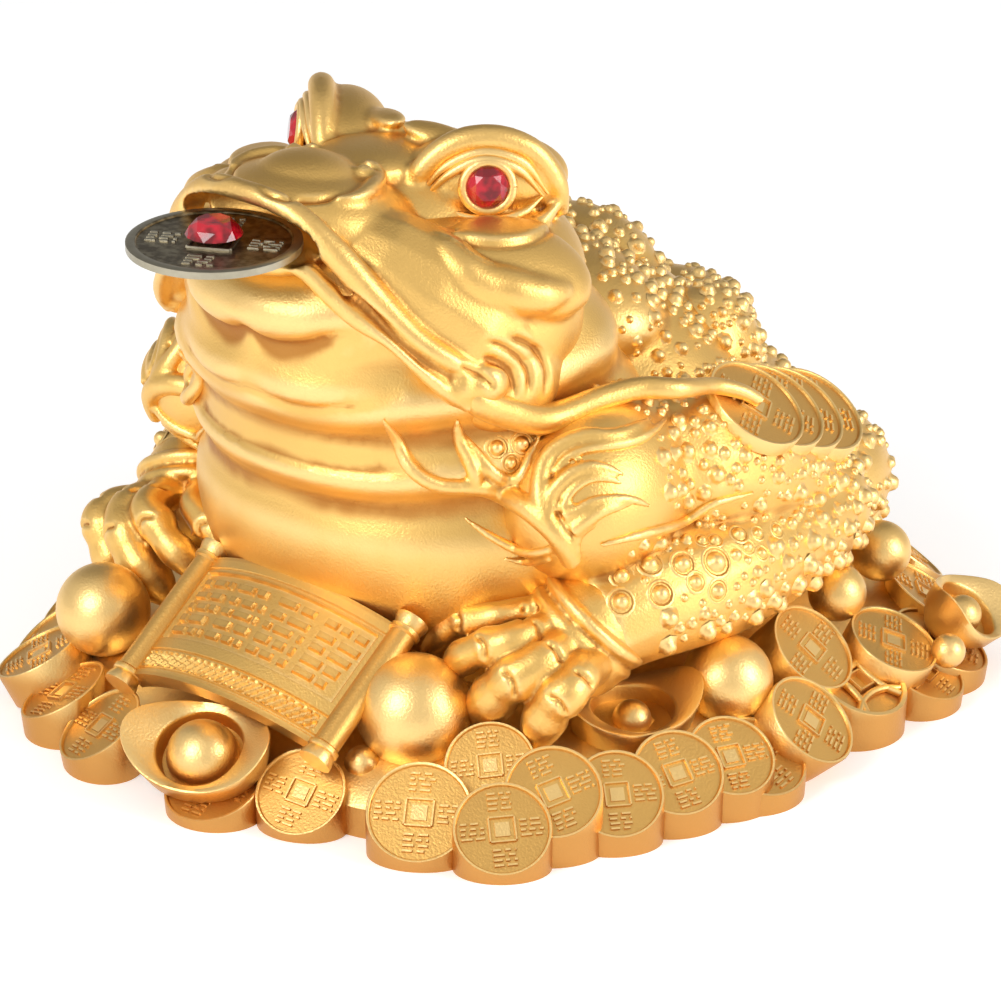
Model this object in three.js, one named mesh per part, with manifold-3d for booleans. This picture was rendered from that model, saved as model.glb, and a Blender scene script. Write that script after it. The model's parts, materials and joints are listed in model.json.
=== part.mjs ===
// A money toad: a cast figure of a wealth toad that squats on a heap of coins, pearls and boat-shaped
// ingots, with a written scroll before its belly, a loose coin in its mouth and red stones for eyes.
// Millimetres, +Z up, origin in the middle of the underside. The toad looks along -Y, its left is +X.

import * as THREE from "three";
import { mergeVertices } from "three/addons/utils/BufferGeometryUtils.js";
import Module from "manifold-3d";

const wasm = await Module();
wasm.setup();

// Driving dimensions. The toad's own proportions are shares of its height, and the lie of the heap is
// a share of its width, length and height.
const TOAD_HEIGHT = 103;
const BASE_WIDTH = 137;
const BASE_LENGTH = 150;
const BASE_SQUARENESS = 2.9;
const RIM_HEIGHT = 5;
const HEAP_HEIGHT = 16;
const HEAP_COIN_DIAMETER = 17.6;
const HEAP_COIN_SINK = 0.6;
const PEARL_DIAMETER = 18;
const INGOT_LENGTH = 24.5;
const INGOT_WIDTH = 17;
const INGOT_HEIGHT = 12;
const STRUNG_COIN_DIAMETER = 15.6;
const STRUNG_COIN_THICKNESS = 4;
const SCROLL_WIDTH = 41;
const SCROLL_LENGTH = 23.5;
const SCROLL_THICKNESS = 3.2;
const SCROLL_ARCH = 6;
const SCROLL_BORDER = 3;
const SCROLL_SINK = 0.6;
const SCROLL_ROD_DIAMETER = 4.6;
const SCROLL_ROD_OVERHANG = 2.2;
const MOUTH_COIN_DIAMETER = 26.5;
const MOUTH_COIN_THICKNESS = 1.6;
const MOUTH_COIN_HOLE = 6;
const COIN_STONE_DIAMETER = 9.4;
const COIN_STONE_CROWN = 2.6;
const COIN_STONE_DEPTH = 0.4;
const EYE_STONE_DIAMETER = 6.7;
const EYE_STONE_DEPTH = 2.4;
const EYE_STONE_CROWN = 1.2;
const FIT_GAP = 0.3;
const SKIN_TOLERANCE = 0.32;

const GOLD = { color: 0xd9a441, roughness: 0.32, metalness: 0.9 };
const BRONZE = { color: 0x5a5040, roughness: 0.4, metalness: 0.9 };
const RED = { color: 0xa00818, roughness: 0.08, metalness: 0.1 };

const unit = TOAD_HEIGHT / 103;
const heapUnit = [BASE_WIDTH / 137, BASE_LENGTH / 150, HEAP_HEIGHT / 16];
const rad = THREE.MathUtils.degToRad;
const vec = (x, y, z) => new THREE.Vector3(x, y, z);
const at = (x, y, z) => vec(x, y, z).multiplyScalar(unit);
const onHeap = (...place) => place.map((value, i) => value * heapUnit[i]);
const SIDES = [-1, 1];

// Closed three.js geometry to a solid, and back.
function solid(geometry) {
  const bare = geometry.clone();
  bare.deleteAttribute("normal");
  bare.deleteAttribute("uv");
  const merged = mergeVertices(bare, 1e-4);
  const corners = Float32Array.from(merged.attributes.position.array);
  const mesh = { numProp: 3, vertProperties: corners, triVerts: Uint32Array.from(merged.index.array) };
  const made = new wasm.Manifold(new wasm.Mesh(mesh));
  if (made.volume() > 0) return made;
  for (let i = 0; i < mesh.triVerts.length; i += 3) {
    [mesh.triVerts[i + 1], mesh.triVerts[i + 2]] = [mesh.triVerts[i + 2], mesh.triVerts[i + 1]];
  }
  return new wasm.Manifold(new wasm.Mesh(mesh));
}

// The outer skin of a body: the closed pockets that its joined masses leave inside are dropped, and
// corners that stray less than the tolerance from the faces around them are drawn into a neighbour.
function skinOf(body) {
  const mesh = body.getMesh();
  const places = [];
  for (let i = 0; i < mesh.vertProperties.length; i += 3) {
    places.push(vec(...mesh.vertProperties.slice(i, i + 3)));
  }
  const faces = [];
  for (let i = 0; i < mesh.triVerts.length; i += 3) faces.push(Array.from(mesh.triVerts.slice(i, i + 3)));
  const kept = thinned(places, outerShells(places, faces), SKIN_TOLERANCE);
  const used = [...new Set(kept.flat())];
  const order = new Map(used.map((corner, i) => [corner, i]));
  return new THREE.BufferGeometry()
    .setFromPoints(used.map((corner) => places[corner]))
    .setIndex(kept.flat().map((corner) => order.get(corner)));
}

function outerShells(places, faces) {
  const owner = places.map((_, i) => i);
  const top = (i) => {
    while (owner[i] !== i) i = owner[i];
    return i;
  };
  for (const [a, b, c] of faces) {
    owner[top(b)] = top(a);
    owner[top(c)] = top(a);
  }
  const volumes = new Map();
  for (const [a, b, c] of faces) {
    const part = places[a].dot(places[b].clone().cross(places[c]));
    volumes.set(top(a), (volumes.get(top(a)) ?? 0) + part);
  }
  return faces.filter((face) => volumes.get(top(face[0])) > 0);
}

// A face may be drawn out to a sliver of this height and may turn as far as this cosine.
const LEAST_SLIVER = 0.06;
const LEAST_TURN = 0.7;

function thinned(places, faces, tolerance) {
  const normalOf = ([a, b, c]) => places[b].clone().sub(places[a]).cross(places[c].clone().sub(places[a]));
  const around = places.map(() => new Set());
  const planes = places.map(() => []);
  faces.forEach((face, i) => {
    const plane = new THREE.Plane();
    plane.setFromNormalAndCoplanarPoint(normalOf(face).normalize(), places[face[0]]);
    for (const corner of face) {
      around[corner].add(i);
      planes[corner].push(plane);
    }
  });
  const stray = (corner, place) => {
    return Math.max(...planes[corner].map((plane) => Math.abs(plane.distanceToPoint(place))));
  };
  const neighbours = (corner) => {
    const near = new Set([...around[corner]].flatMap((i) => faces[i]));
    near.delete(corner);
    return near;
  };
  const moveTo = (face, from, to) => face.map((corner) => (corner === from ? to : corner));
  const staysSound = (face, from, to) => {
    const after = moveTo(face, from, to);
    const [was, is] = [normalOf(face), normalOf(after)];
    const edges = after.map((corner, i) => places[corner].distanceTo(places[after[(i + 1) % 3]]));
    const thick = is.length() > LEAST_SLIVER * Math.max(...edges);
    return thick && was.dot(is) > LEAST_TURN * was.length() * is.length();
  };
  const drawInto = (from, to) => {
    const near = neighbours(to);
    const common = [...neighbours(from)].filter((corner) => near.has(corner));
    const shared = [...around[from]].filter((i) => faces[i].includes(to));
    const moved = [...around[from]].filter((i) => !faces[i].includes(to));
    if (shared.length !== 2 || common.length !== 2) return false;
    if (!moved.every((i) => staysSound(faces[i], from, to))) return false;
    for (const i of shared) faces[i].forEach((corner) => around[corner].delete(i));
    for (const i of moved) {
      faces[i] = moveTo(faces[i], from, to);
      around[to].add(i);
    }
    around[from].clear();
    planes[to].push(...planes[from]);
    return true;
  };
  for (let changed = true; changed; ) {
    changed = false;
    for (let from = 0; from < places.length; from += 1) {
      const picks = [...neighbours(from)]
        .map((to) => [Math.max(stray(from, places[to]), stray(to, places[to])), to])
        .filter(([distance]) => distance < tolerance)
        .sort((a, b) => a[0] - b[0]);
      if (picks.some(([, to]) => drawInto(from, to))) changed = true;
    }
  }
  const alive = new Set(around.flatMap((own) => [...own]));
  return [...alive].map((i) => faces[i]);
}

const joined = (bodies) => bodies.reduce((all, body) => all.add(body));

// A body turned about Z from [radius, height] pairs; each point may then be moved by form(point).
function turned(profile, sides, form = () => {}) {
  const points = profile.map(([r, z]) => new THREE.Vector2(r, z));
  const body = new THREE.LatheGeometry(points, sides).rotateX(Math.PI / 2);
  const corners = body.attributes.position;
  const point = vec(0, 0, 0);
  for (let i = 0; i < corners.count; i += 1) {
    form(point.fromBufferAttribute(corners, i));
    corners.setXYZ(i, point.x, point.y, point.z);
  }
  return body;
}

// An egg of three half sizes, turned by the given angles and set at a place.
function egg(place, half, sides = 12, rings = 8, turn = [0, 0, 0]) {
  const body = new THREE.SphereGeometry(1, sides, rings).rotateX(Math.PI / 2);
  body.scale(half[0] * unit, half[1] * unit, half[2] * unit);
  body.applyMatrix4(new THREE.Matrix4().makeRotationFromEuler(new THREE.Euler(...turn.map(rad), "XYZ")));
  return body.translate(place.x, place.y, place.z);
}

// A closed strand through the given places; widths are its half widths at equal steps along it.
function strand(places, widths, sides = 6) {
  const path = new THREE.CatmullRomCurve3(places, false, "centripetal");
  const steps = widths.length - 1;
  const frames = path.computeFrenetFrames(steps, false);
  const profile = [[0, 0], ...widths.map((width, i) => [width * unit, i]), [0, steps]];
  return turned(profile, sides, (point) => {
    const step = Math.round(point.z);
    const { x, y } = point;
    point.copy(path.getPointAt(step / steps));
    point.addScaledVector(frames.normals[step], x).addScaledVector(frames.binormals[step], y);
  });
}

// The throat and belly: one bulging column with a roll of skin between each two creases.
const THROAT_ROLLS = [
  [0, 4], [0.82, 10], [0.98, 20], [1.03, 31], [1.01, 40], [0.945, 46.5], [0.98, 51.5],
  [0.925, 58], [0.98, 64], [0.93, 70.5], [0.93, 79], [0.7, 87.5], [0, 89.5],
];

function throat() {
  const halfWidth = 37.5;
  const squareness = 2.15;
  const creaseRise = 6;
  return turned(THROAT_ROLLS, 18, (point) => {
    const share = Math.hypot(point.x, point.y);
    const z = point.z;
    if (share > 1e-9) {
      const [c, d] = [point.x / share, point.y / share];
      const reach = (Math.abs(c) ** squareness + Math.abs(d) ** squareness) ** (-1 / squareness) * share;
      const lift = THREE.MathUtils.smoothstep(z, 31, 57) * THREE.MathUtils.smoothstep(90 - z, 0, 12);
      const depth = d < 0 ? 34 + 0.23 * (z - 20) : 34 - 0.36 * (z - 20);
      point.set(c * reach * halfWidth, d * reach * depth, z + creaseRise * lift * (0.5 + 0.5 * d));
    }
    point.y -= 11 + 0.1 * (z - 20);
    point.multiplyScalar(unit);
  });
}

// The eyes: a round stone in the middle of an almond between two lids, on a bulge of the brow.
const EYE_FACING = 45;
const EYE_TILT = 8;
const EYE_STONE_AT = at(19.6, -25.2, 93);

function eyeNormal(side) {
  return vec(0, -1, 0).applyEuler(new THREE.Euler(-rad(EYE_TILT), 0, side * rad(EYE_FACING), "ZYX"));
}

function onEye(side, out) {
  const { x, y, z } = EYE_STONE_AT;
  return vec(side * x, y, z).addScaledVector(eyeNormal(side), out * unit);
}

// A place by the eye: along runs back from the stone, up runs above it, out runs away from the face.
function byEye(side, along, up, out) {
  const back = vec(side * Math.cos(rad(EYE_FACING)), Math.sin(rad(EYE_FACING)), 0);
  const above = vec(0, 0, 1).addScaledVector(eyeNormal(side), -Math.sin(rad(EYE_TILT))).normalize();
  return onEye(side, out).addScaledVector(back, along * unit).addScaledVector(above, up * unit);
}

function eye(side) {
  const turn = [0, 0, side > 0 ? -EYE_FACING : EYE_FACING - 180];
  const bulge = egg(onEye(side, -8), [7.6, 13, 7.8], 12, 8, turn);
  const brow = [[-12, -3, -4], [-8.5, 2.8, -3], [0, 5.8, -3.4], [8.5, 2.8, -3.8], [12, -4.5, -5.5]];
  const lower = [[-10.5, -2.5, -2.8], [-5, -5.4, -1.2], [2, -6.2, -1.2], [8, -4.8, -2.4], [11, -2, -4]];
  return [
    bulge,
    strand(brow.map((p) => byEye(side, ...p)), [0.8, 2, 2.2, 2.2, 1.9, 0.8], 5),
    strand(lower.map((p) => byEye(side, ...p)), [0.5, 1.1, 1.2, 1.1, 0.5], 4),
  ];
}

// The head: a broad skull with a raised muzzle, full cheeks, coiled nostrils and leaves on the crown.
function head() {
  const parts = [
    egg(at(0, -23, 79), [32, 23, 17], 14, 8, [4, 0, 0]),
    egg(at(0, -42, 89.5), [16.5, 17, 10], 12, 6, [-20, 0, 0]),
    egg(at(0, -48, 96.5), [9.5, 9, 4.6], 10, 6, [-8, 0, 0]),
    egg(at(0, -28, 93.5), [9, 13, 3.4], 8, 6, [-8, 0, 0]),
  ];
  const jaw = [[7, -48, 90], [15, -42, 83], [22, -35, 75.5], [25.5, -30, 69]];
  const nostril = [[2.5, -52, 98], [6, -47.5, 100], [9, -42, 99], [12, -40.5, 95.5]];
  for (const side of SIDES) {
    const place = ([x, y, z]) => at(side * x, y, z);
    parts.push(
      strand(jaw.map(place), [6, 9.5, 11, 11.5, 9.5], 8),
      strand(nostril.map(place), [0.8, 1.6, 2.2, 2.4, 1.4], 5),
      egg(place([23, -26, 73.5]), [11.5, 14, 14.5], 12, 6),
      egg(place([27, -27, 85.5]), [9, 12, 4], 8, 6, [0, side * 30, side * -45]),
      egg(place([5.6, -20.5, 96.8]), [6, 2.8, 1.4], 8, 4, [0, side * 12, side * 24]),
      ...eye(side),
    );
  }
  return parts;
}

// The lips: an upper and a lower band that arch over the coin and fall to the corners of the mouth.
const UPPER_LIP = [
  [0, -57.5, 97], [8, -56.5, 95.5], [14.5, -54, 90.5], [21, -50, 81.5], [29, -45, 74], [32.5, -41.5, 70.5],
];
const LOWER_LIP = [
  [0, -58.5, 87.5], [10, -56.5, 86.8], [13.5, -53.5, 83], [21.5, -49.5, 77], [28, -45.5, 69.5],
  [31.5, -42, 65],
];

function fullArch(line) {
  const right = line.slice(1).reverse().map(([x, y, z]) => at(-x, y, z));
  return [...right, ...line.map((place) => at(...place))];
}

function lips() {
  return [
    strand(fullArch(UPPER_LIP), [0.8, 1.6, 2, 2.2, 2.2, 2.2, 2, 1.6, 0.8], 5),
    strand(fullArch(LOWER_LIP), [0.7, 1.5, 1.8, 1.8, 1.8, 1.8, 1.8, 1.5, 0.7], 5),
  ];
}

// The back: two rounded masses behind the head, the haunches and the single hind foot.
function back() {
  const parts = [
    egg(at(0, 12, 42), [38, 30, 29], 16, 10),
    egg(at(0, 34, 27), [37, 34, 26], 16, 8),
    egg(at(0, 4, 62), [28, 16, 12], 12, 6),
    egg(at(0, 58, 20.4), [12, 13, 10], 10, 6),
  ];
  for (const side of SIDES) parts.push(egg(at(side * 25, 48, 22), [14, 16, 13], 10, 6));
  const toes = [-30, 0, 30].map((bearing) => {
    const reach = at(Math.sin(rad(bearing)), Math.cos(rad(bearing)), 0);
    const line = [[4, 20.4], [9, 19.2], [13, 13], [14, 9]];
    return strand(line.map(([out, z]) => at(0, 56, z).addScaledVector(reach, out)), [2.5, 3, 2.8, 1.2], 5);
  });
  return [...parts, ...toes];
}

// One front leg: shoulder, upper arm back to the elbow, forearm forward to the ringed wrist, and hand.
const ELBOW = [46, 32, 28];
const WRIST = [43, -27, 24.5];
const FINGERS = [
  [[38, -31, 27], [30, -36, 28], [23, -38, 25], [19.5, -39, 19]],
  [[40, -34, 26], [33, -40, 27.5], [27.5, -42.5, 23], [25.5, -43, 16.5]],
  [[42, -35, 24.5], [39, -42, 25], [35, -45.5, 20], [33.5, -46.5, 13]],
  [[44.5, -34, 22], [46, -40, 21.5], [47, -44, 16], [47, -45, 10]],
];

function arm(side) {
  const place = ([x, y, z]) => at(side * x, y, z);
  const parts = [
    egg(place([23, 24, 50]), [9, 10, 13], 10, 6),
    egg(place([34, -17, 46]), [14, 20, 15], 12, 8, [0, 0, side * 14]),
    strand([[36, -14, 48], [42, 8, 44], [46, 26, 34], ELBOW].map(place), [9, 12.5, 13, 11.5, 10], 9),
    strand([[47, 36, 26], [47, 16, 26], [45.5, -8, 27], WRIST].map(place), [8.5, 11.5, 11.5, 10, 7.8], 9),
    egg(place([46.5, 33, 28]), [10, 9.5, 11], 8, 6),
    egg(place([42, -31, 23]), [7.5, 8, 7], 8, 6),
  ];
  for (const [x, y, z, r] of [[43, -25.2, 24.5, 8], [43, -29.7, 24.5, 7.8]]) {
    parts.push(egg(place([x, y, z]), [r, 1.8, r], 10, 4, [6, 0, side * 16]));
  }
  for (const finger of FINGERS) parts.push(strand(finger.map(place), [2.6, 3.3, 3, 3.3, 2.6, 0.9], 5));
  return parts;
}

// Flames of skin curl from the chest over each shoulder; a cord runs from the mouth to coins on the flank.
const FLAMES = [
  [[20.5, -48.5, 59], [23, -46.8, 54], [30, -37.5, 50.5], [38, -36, 48.3], [42, -33.5, 41.5]],
  [[27, -41, 60], [31, -36.5, 53.2], [34, -34.8, 53], [33.6, -30, 57]],
  [[39, -34.5, 50.5], [38.5, -30.5, 56.5], [42, -23, 57.8], [41.5, -11, 57.3]],
  [[42, -34.3, 47], [45, -31, 50.3], [47.5, -22.5, 48]],
];
const CORD = [
  [31, -43.5, 68], [32.5, -35.5, 63], [34, -28.5, 60], [37.5, -20, 60.5], [43.5, -8, 59.5], [47, 4, 57],
];

function ornament() {
  const flames = SIDES.flatMap((side) => {
    const lines = FLAMES.map((line) => line.map(([x, y, z]) => at(side * x, y, z)));
    return lines.map((line) => strand(line, [0.5, 1.6, 1.8, 1.2, 0.5], 4));
  });
  const cord = CORD.map((place) => at(...place));
  return [...flames, strand(cord, [1.5, 2.4, 2.4, 2.2, 1.9, 1.5, 1.3], 5)];
}

// The heap: a rounded-square mound, its rim a row of coins that lean outward, each on its own wall.
function rimPoint(bearing, inset) {
  const sine = Math.sin(rad(bearing));
  const cosine = -Math.cos(rad(bearing));
  const a = BASE_WIDTH / 2 - inset;
  const b = BASE_LENGTH / 2 - inset;
  const share = Math.abs(sine / a) ** BASE_SQUARENESS + Math.abs(cosine / b) ** BASE_SQUARENESS;
  const reach = share ** (-1 / BASE_SQUARENESS);
  return [sine * reach, cosine * reach];
}

function mound() {
  const inset = 0.5 * HEAP_COIN_DIAMETER;
  const profile = [[0, 0], [1, 0], [1, RIM_HEIGHT], [0.85, 0.7 * HEAP_HEIGHT], [0, HEAP_HEIGHT]];
  return turned(profile, 20, (point) => {
    const share = Math.hypot(point.x, point.y);
    if (share < 1e-9) return;
    const [x, y] = rimPoint(THREE.MathUtils.radToDeg(Math.atan2(point.x, -point.y)), inset);
    point.set(x * share, y * share, point.z);
  });
}

// A coin of the heap: its face leans toward a bearing, and its wall drops straight to the ground.
// A drum is a coin stack with a wall along its own axis, lying on the coins below it. Its length, and
// the inset and stray of the even row, are shares of the coin's diameter.
const COIN_SIDES = 12;

function heapCoin({ x, y, z, bearing, lean, spin = 0, share = 0.86, drum = 0, holed = true }) {
  const r = 0.5 * HEAP_COIN_DIAMETER * share;
  const frame = new THREE.Matrix4().makeRotationZ(rad(bearing));
  frame.multiply(new THREE.Matrix4().makeRotationX(rad(lean)));
  frame.multiply(new THREE.Matrix4().makeRotationZ(rad(spin)));
  frame.setPosition(...onHeap(x, y, z));
  const profile = [[0, -1], [r, -1], [r, 0], [r * 0.86, -HEAP_COIN_SINK], [0, -HEAP_COIN_SINK]];
  const body = turned(profile, COIN_SIDES, (point) => {
    const below = point.z === -1;
    if (below) point.z = -drum * HEAP_COIN_DIAMETER;
    point.applyMatrix4(frame);
    if (below && drum === 0) point.z = 0;
  });
  if (!holed) return solid(body);
  const hole = r * 0.5;
  const well = new THREE.BoxGeometry(hole, hole, 1).translate(0, 0, 0.5 - 2 * HEAP_COIN_SINK);
  return solid(body).subtract(solid(well.applyMatrix4(frame)));
}

// The coins that show at the front and near side lie as if poured; the rest of the rim is an even row.
const POURED = [
  { x: -44.5, y: -61, z: 8.5, bearing: -55, lean: 28, drum: 0.34 },
  { x: -33.8, y: -66.5, z: 7, bearing: -50, lean: 28 },
  { x: -20.7, y: -71.6, z: 7, bearing: -30, lean: 34 },
  { x: 4, y: -72, z: 5, bearing: 4, lean: 24, share: 0.9 },
  { x: 18, y: -67.5, z: 6.4, bearing: 20, lean: 42, share: 0.82 },
  { x: 37.8, y: -62.6, z: 7.6, bearing: 32, lean: 43, share: 0.93 },
  { x: 50.2, y: -57.7, z: 7, bearing: 42, lean: 42 },
  { x: 52.6, y: -48.6, z: 10.5, bearing: 46, lean: 42 },
  { x: 57.9, y: -39.8, z: 8.5, bearing: 50, lean: 42, share: 0.82 },
  { x: 61, y: -29, z: 9, bearing: 56, lean: 40, share: 0.82 },
  { x: 63.6, y: -19.2, z: 9, bearing: 64, lean: 36, share: 0.8 },
  { x: 64.5, y: -13.5, z: 7, bearing: 80, lean: 28, share: 0.9 },
  { x: 66, y: -1.9, z: 9.4, bearing: 98, lean: 42, share: 0.9, drum: 0.4 },
  { x: 57.2, y: 9.6, z: 15, bearing: 98, lean: 42, share: 0.88, drum: 0.45 },
  { x: 63.6, y: 16.6, z: 8, bearing: 100, lean: 34, share: 0.92 },
  { x: 61.4, y: 25.3, z: 12, bearing: 100, lean: 26, drum: 0.34 },
  { x: 64.5, y: 29.5, z: 6, bearing: 104, lean: 26, share: 0.8 },
  { x: 60.5, y: 39.5, z: 6.5, bearing: 122, lean: 26, share: 0.96 },
  { x: 42, y: -51, z: 12.5, bearing: 34, lean: 44, share: 0.8, drum: 0.28 },
];
const EVEN_ROW = { from: 135, to: 318, count: 14, inset: 0.44, stray: 0.05 };

function rim() {
  const step = (EVEN_ROW.to - EVEN_ROW.from) / (EVEN_ROW.count - 1);
  const row = Array.from({ length: EVEN_ROW.count }, (_, i) => {
    const bearing = EVEN_ROW.from + step * i;
    const inset = (EVEN_ROW.inset + EVEN_ROW.stray * Math.sin(2.4 * i)) * HEAP_COIN_DIAMETER;
    const [x, y] = rimPoint(bearing, inset).map((value, axis) => value / heapUnit[axis]);
    const lean = 34 + 6 * Math.sin(1.7 * i);
    return { x, y, z: 8 + Math.sin(1.9 * i), bearing, lean, spin: 25 * i, share: 1, holed: false };
  });
  return [...POURED, ...row].map(heapCoin);
}

// Pearls by place on the heap and share of the largest one.
const PEARLS = [
  [25.7, -49.8, 16, 1], [-36, -54.5, 16, 0.84], [53, -7, 14, 0.8], [50.5, 24, 18, 0.61],
  [44.6, 43.4, 16.2, 0.67], [22.3, -58, 9, 0.31], [67.5, 31.5, 9.5, 0.31], [-52, 0, 14, 0.78],
  [-46, 42, 15, 0.78], [8, 68, 11, 0.56],
];

function pearls() {
  return PEARLS.map(([x, y, z, share]) => {
    const [sides, rings] = share > 0.5 ? [11, 7] : [6, 4];
    const ball = new THREE.SphereGeometry(0.5 * PEARL_DIAMETER * share, sides, rings);
    return solid(ball.rotateX(Math.PI / 2).translate(...onHeap(x, y, z)));
  });
}

function lay(body, place, bearing, lean, spin) {
  const turn = new THREE.Matrix4().makeRotationZ(rad(bearing));
  turn.multiply(new THREE.Matrix4().makeRotationX(rad(lean)));
  turn.multiply(new THREE.Matrix4().makeRotationZ(rad(spin)));
  return body.transform(turn.setPosition(...place).toArray());
}

// A boat-shaped ingot: two raised ends and a dome between them in a shallow hollow.
function ingot(share) {
  const [length, width, height] = [INGOT_LENGTH, INGOT_WIDTH, INGOT_HEIGHT].map((size) => size * share);
  const profile = [[0, 0], [0.6, 0], [0.94, 0.55], [1, 1], [0.84, 1], [0.6, 0.7], [0, 0.6]];
  const hull = turned(profile, 12, (point) => {
    const ends = Math.abs(point.x) ** 3 * (point.z > 0.5 ? 0.5 : 0.1);
    point.set(point.x * length * 0.5, point.y * width * 0.5, (point.z + ends) * height * 0.65);
  });
  const dome = new THREE.SphereGeometry(1, 8, 6).rotateX(Math.PI / 2);
  dome.scale(length * 0.23, width * 0.33, height * 0.45).translate(0, 0, height * 0.45);
  return solid(hull).add(solid(dome));
}

// Each ingot by place, bearing, lean and spin, with its share of the largest one.
const INGOTS = [
  [[0.1, -68.4, 3.7], 18, 30, 0, 1], [[47, -23.5, 7], 60, 8, 10, 0.8],
  [[59, 42.3, 6.5], 120, 14, 30, 0.8], [[-58, 30, 7.5], 240, 14, 30, 0.8],
];

function ingots() {
  return INGOTS.map(([place, bearing, lean, spin, share]) => {
    return lay(ingot(share), onHeap(...place), bearing, lean, spin);
  });
}

// Coins strung on the cord lie on the near flank, each half over the next.
const STRUNG = { from: [44.5, 5.5, 56.5], to: [48, 20, 51.5], count: 4, lean: [108, 40] };

function strung() {
  return Array.from({ length: STRUNG.count }, (_, i) => {
    const t = i / (STRUNG.count - 1);
    const centre = at(...STRUNG.from).lerp(at(...STRUNG.to), t);
    const r = STRUNG_COIN_DIAMETER / 2;
    const disc = new THREE.CylinderGeometry(r, r, STRUNG_COIN_THICKNESS, 12).rotateX(Math.PI / 2);
    return lay(solid(disc), centre.toArray(), ...STRUNG.lean, 0);
  });
}

// The scroll: an arched slab with a sunk panel, rolled on a rod at each side, leaning on the heap.
const SCROLL_AT = [0, -58.8, 24.8];
const SCROLL_SLOPE = 34;

function scroll() {
  const half = SCROLL_WIDTH / 2;
  const bend = (half * half + SCROLL_ARCH * SCROLL_ARCH) / (2 * SCROLL_ARCH);
  const span = Math.asin(half / bend);
  const band = (outer, inner, reach, length) => {
    const shape = new THREE.Shape();
    shape.absarc(0, 0, outer, Math.PI / 2 - reach, Math.PI / 2 + reach, false);
    shape.absarc(0, 0, inner, Math.PI / 2 + reach, Math.PI / 2 - reach, true);
    const slab = new THREE.ExtrudeGeometry(shape, { depth: length, bevelEnabled: false, curveSegments: 4 });
    return solid(slab.translate(0, -bend, -length / 2));
  };
  const slab = band(bend, bend - SCROLL_THICKNESS, span, SCROLL_LENGTH);
  const inner = span * (1 - SCROLL_BORDER / half);
  const panel = band(bend + 1, bend - SCROLL_SINK, inner, SCROLL_LENGTH - 2 * SCROLL_BORDER);
  const r = SCROLL_ROD_DIAMETER / 2;
  const cap = r * 1.2;
  const end = SCROLL_LENGTH / 2 + SCROLL_ROD_OVERHANG;
  const neck = SCROLL_LENGTH / 2;
  const top = [[r, neck], [cap, neck], [cap, end], [0, end]];
  const profile = [...top.map(([x, z]) => [x, -z]).reverse(), ...top];
  const rods = SIDES.map((side) => solid(turned(profile, 8).translate(side * half, -SCROLL_ARCH, 0)));
  const turn = new THREE.Matrix4().makeRotationX(rad(90 + SCROLL_SLOPE));
  turn.setPosition(...onHeap(...SCROLL_AT));
  return joined([slab.subtract(panel), ...rods]).transform(turn.toArray());
}

function figure() {
  const toad = [throat(), ...head(), ...lips(), ...back(), ...SIDES.flatMap(arm), ...ornament()];
  const heap = [solid(mound()), ...rim(), ...pearls(), ...ingots(), ...strung(), scroll()];
  const ground = new THREE.BoxGeometry(2 * BASE_WIDTH, 2 * BASE_LENGTH, BASE_LENGTH);
  const whole = joined([...toad.map(solid), ...heap]);
  return whole.subtract(solid(ground.translate(0, 0, -BASE_LENGTH / 2)));
}

// The loose coin lies level on the tongue with its back edge in the mouth; its stone covers its hole.
const TONGUE_TOP = at(0, -51.6, 89.8);
const coinRadius = MOUTH_COIN_DIAMETER / 2;
const coinHeight = TONGUE_TOP.z + FIT_GAP + MOUTH_COIN_THICKNESS / 2;
const MOUTH_COIN_AT = vec(0, TONGUE_TOP.y - coinRadius, coinHeight);

function mouthCoin() {
  const disc = new THREE.CylinderGeometry(coinRadius, coinRadius, MOUTH_COIN_THICKNESS, 40);
  const hole = new THREE.BoxGeometry(MOUTH_COIN_HOLE, MOUTH_COIN_HOLE, 2 * MOUTH_COIN_THICKNESS);
  return solid(disc.rotateX(Math.PI / 2)).subtract(solid(hole));
}

// The open mouth: a lens-shaped gap between the lips that clears the coin, and the tongue under it.
function mouthGap() {
  const half = [(coinRadius + 0.5) / unit, 9, 4.4 + (0.5 * MOUTH_COIN_THICKNESS) / unit];
  return solid(egg(vec(0, -56.5 * unit, MOUTH_COIN_AT.z), half, 14, 6));
}

function tongue() {
  const height = 3;
  return solid(egg(vec(0, -53.5 * unit, TONGUE_TOP.z - height * unit), [11, 8, height], 10, 6));
}

// A cut stone: a flat table, sloping crown and a shallow back.
function stone(diameter, crown, depth) {
  const r = diameter / 2;
  return turned([[0, -depth], [r * 0.55, -depth], [r, 0], [r * 0.62, crown], [0, crown]], 10);
}

function eyeSeat(side) {
  const depth = EYE_STONE_DEPTH + FIT_GAP;
  const reach = EYE_STONE_DIAMETER / 2 + FIT_GAP;
  const seat = new THREE.CylinderGeometry(reach, reach, 2 * depth, 12);
  seat.applyQuaternion(new THREE.Quaternion().setFromUnitVectors(vec(0, 1, 0), eyeNormal(side)));
  const centre = onEye(side, 0);
  return solid(seat.translate(centre.x, centre.y, centre.z));
}

function piece(name, geometry, finish) {
  const mesh = new THREE.Mesh(geometry, new THREE.MeshStandardMaterial(finish));
  mesh.name = name;
  return mesh;
}

const moneyToad = new THREE.Group();
const mouthed = figure().subtract(mouthGap()).add(tongue());
const body = SIDES.reduce((left, side) => left.subtract(eyeSeat(side)), mouthed);
moneyToad.add(piece("toad_figure", skinOf(body), GOLD));

const coin = piece("mouth_coin", skinOf(mouthCoin()), BRONZE);
coin.position.copy(MOUTH_COIN_AT);
moneyToad.add(coin);

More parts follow.
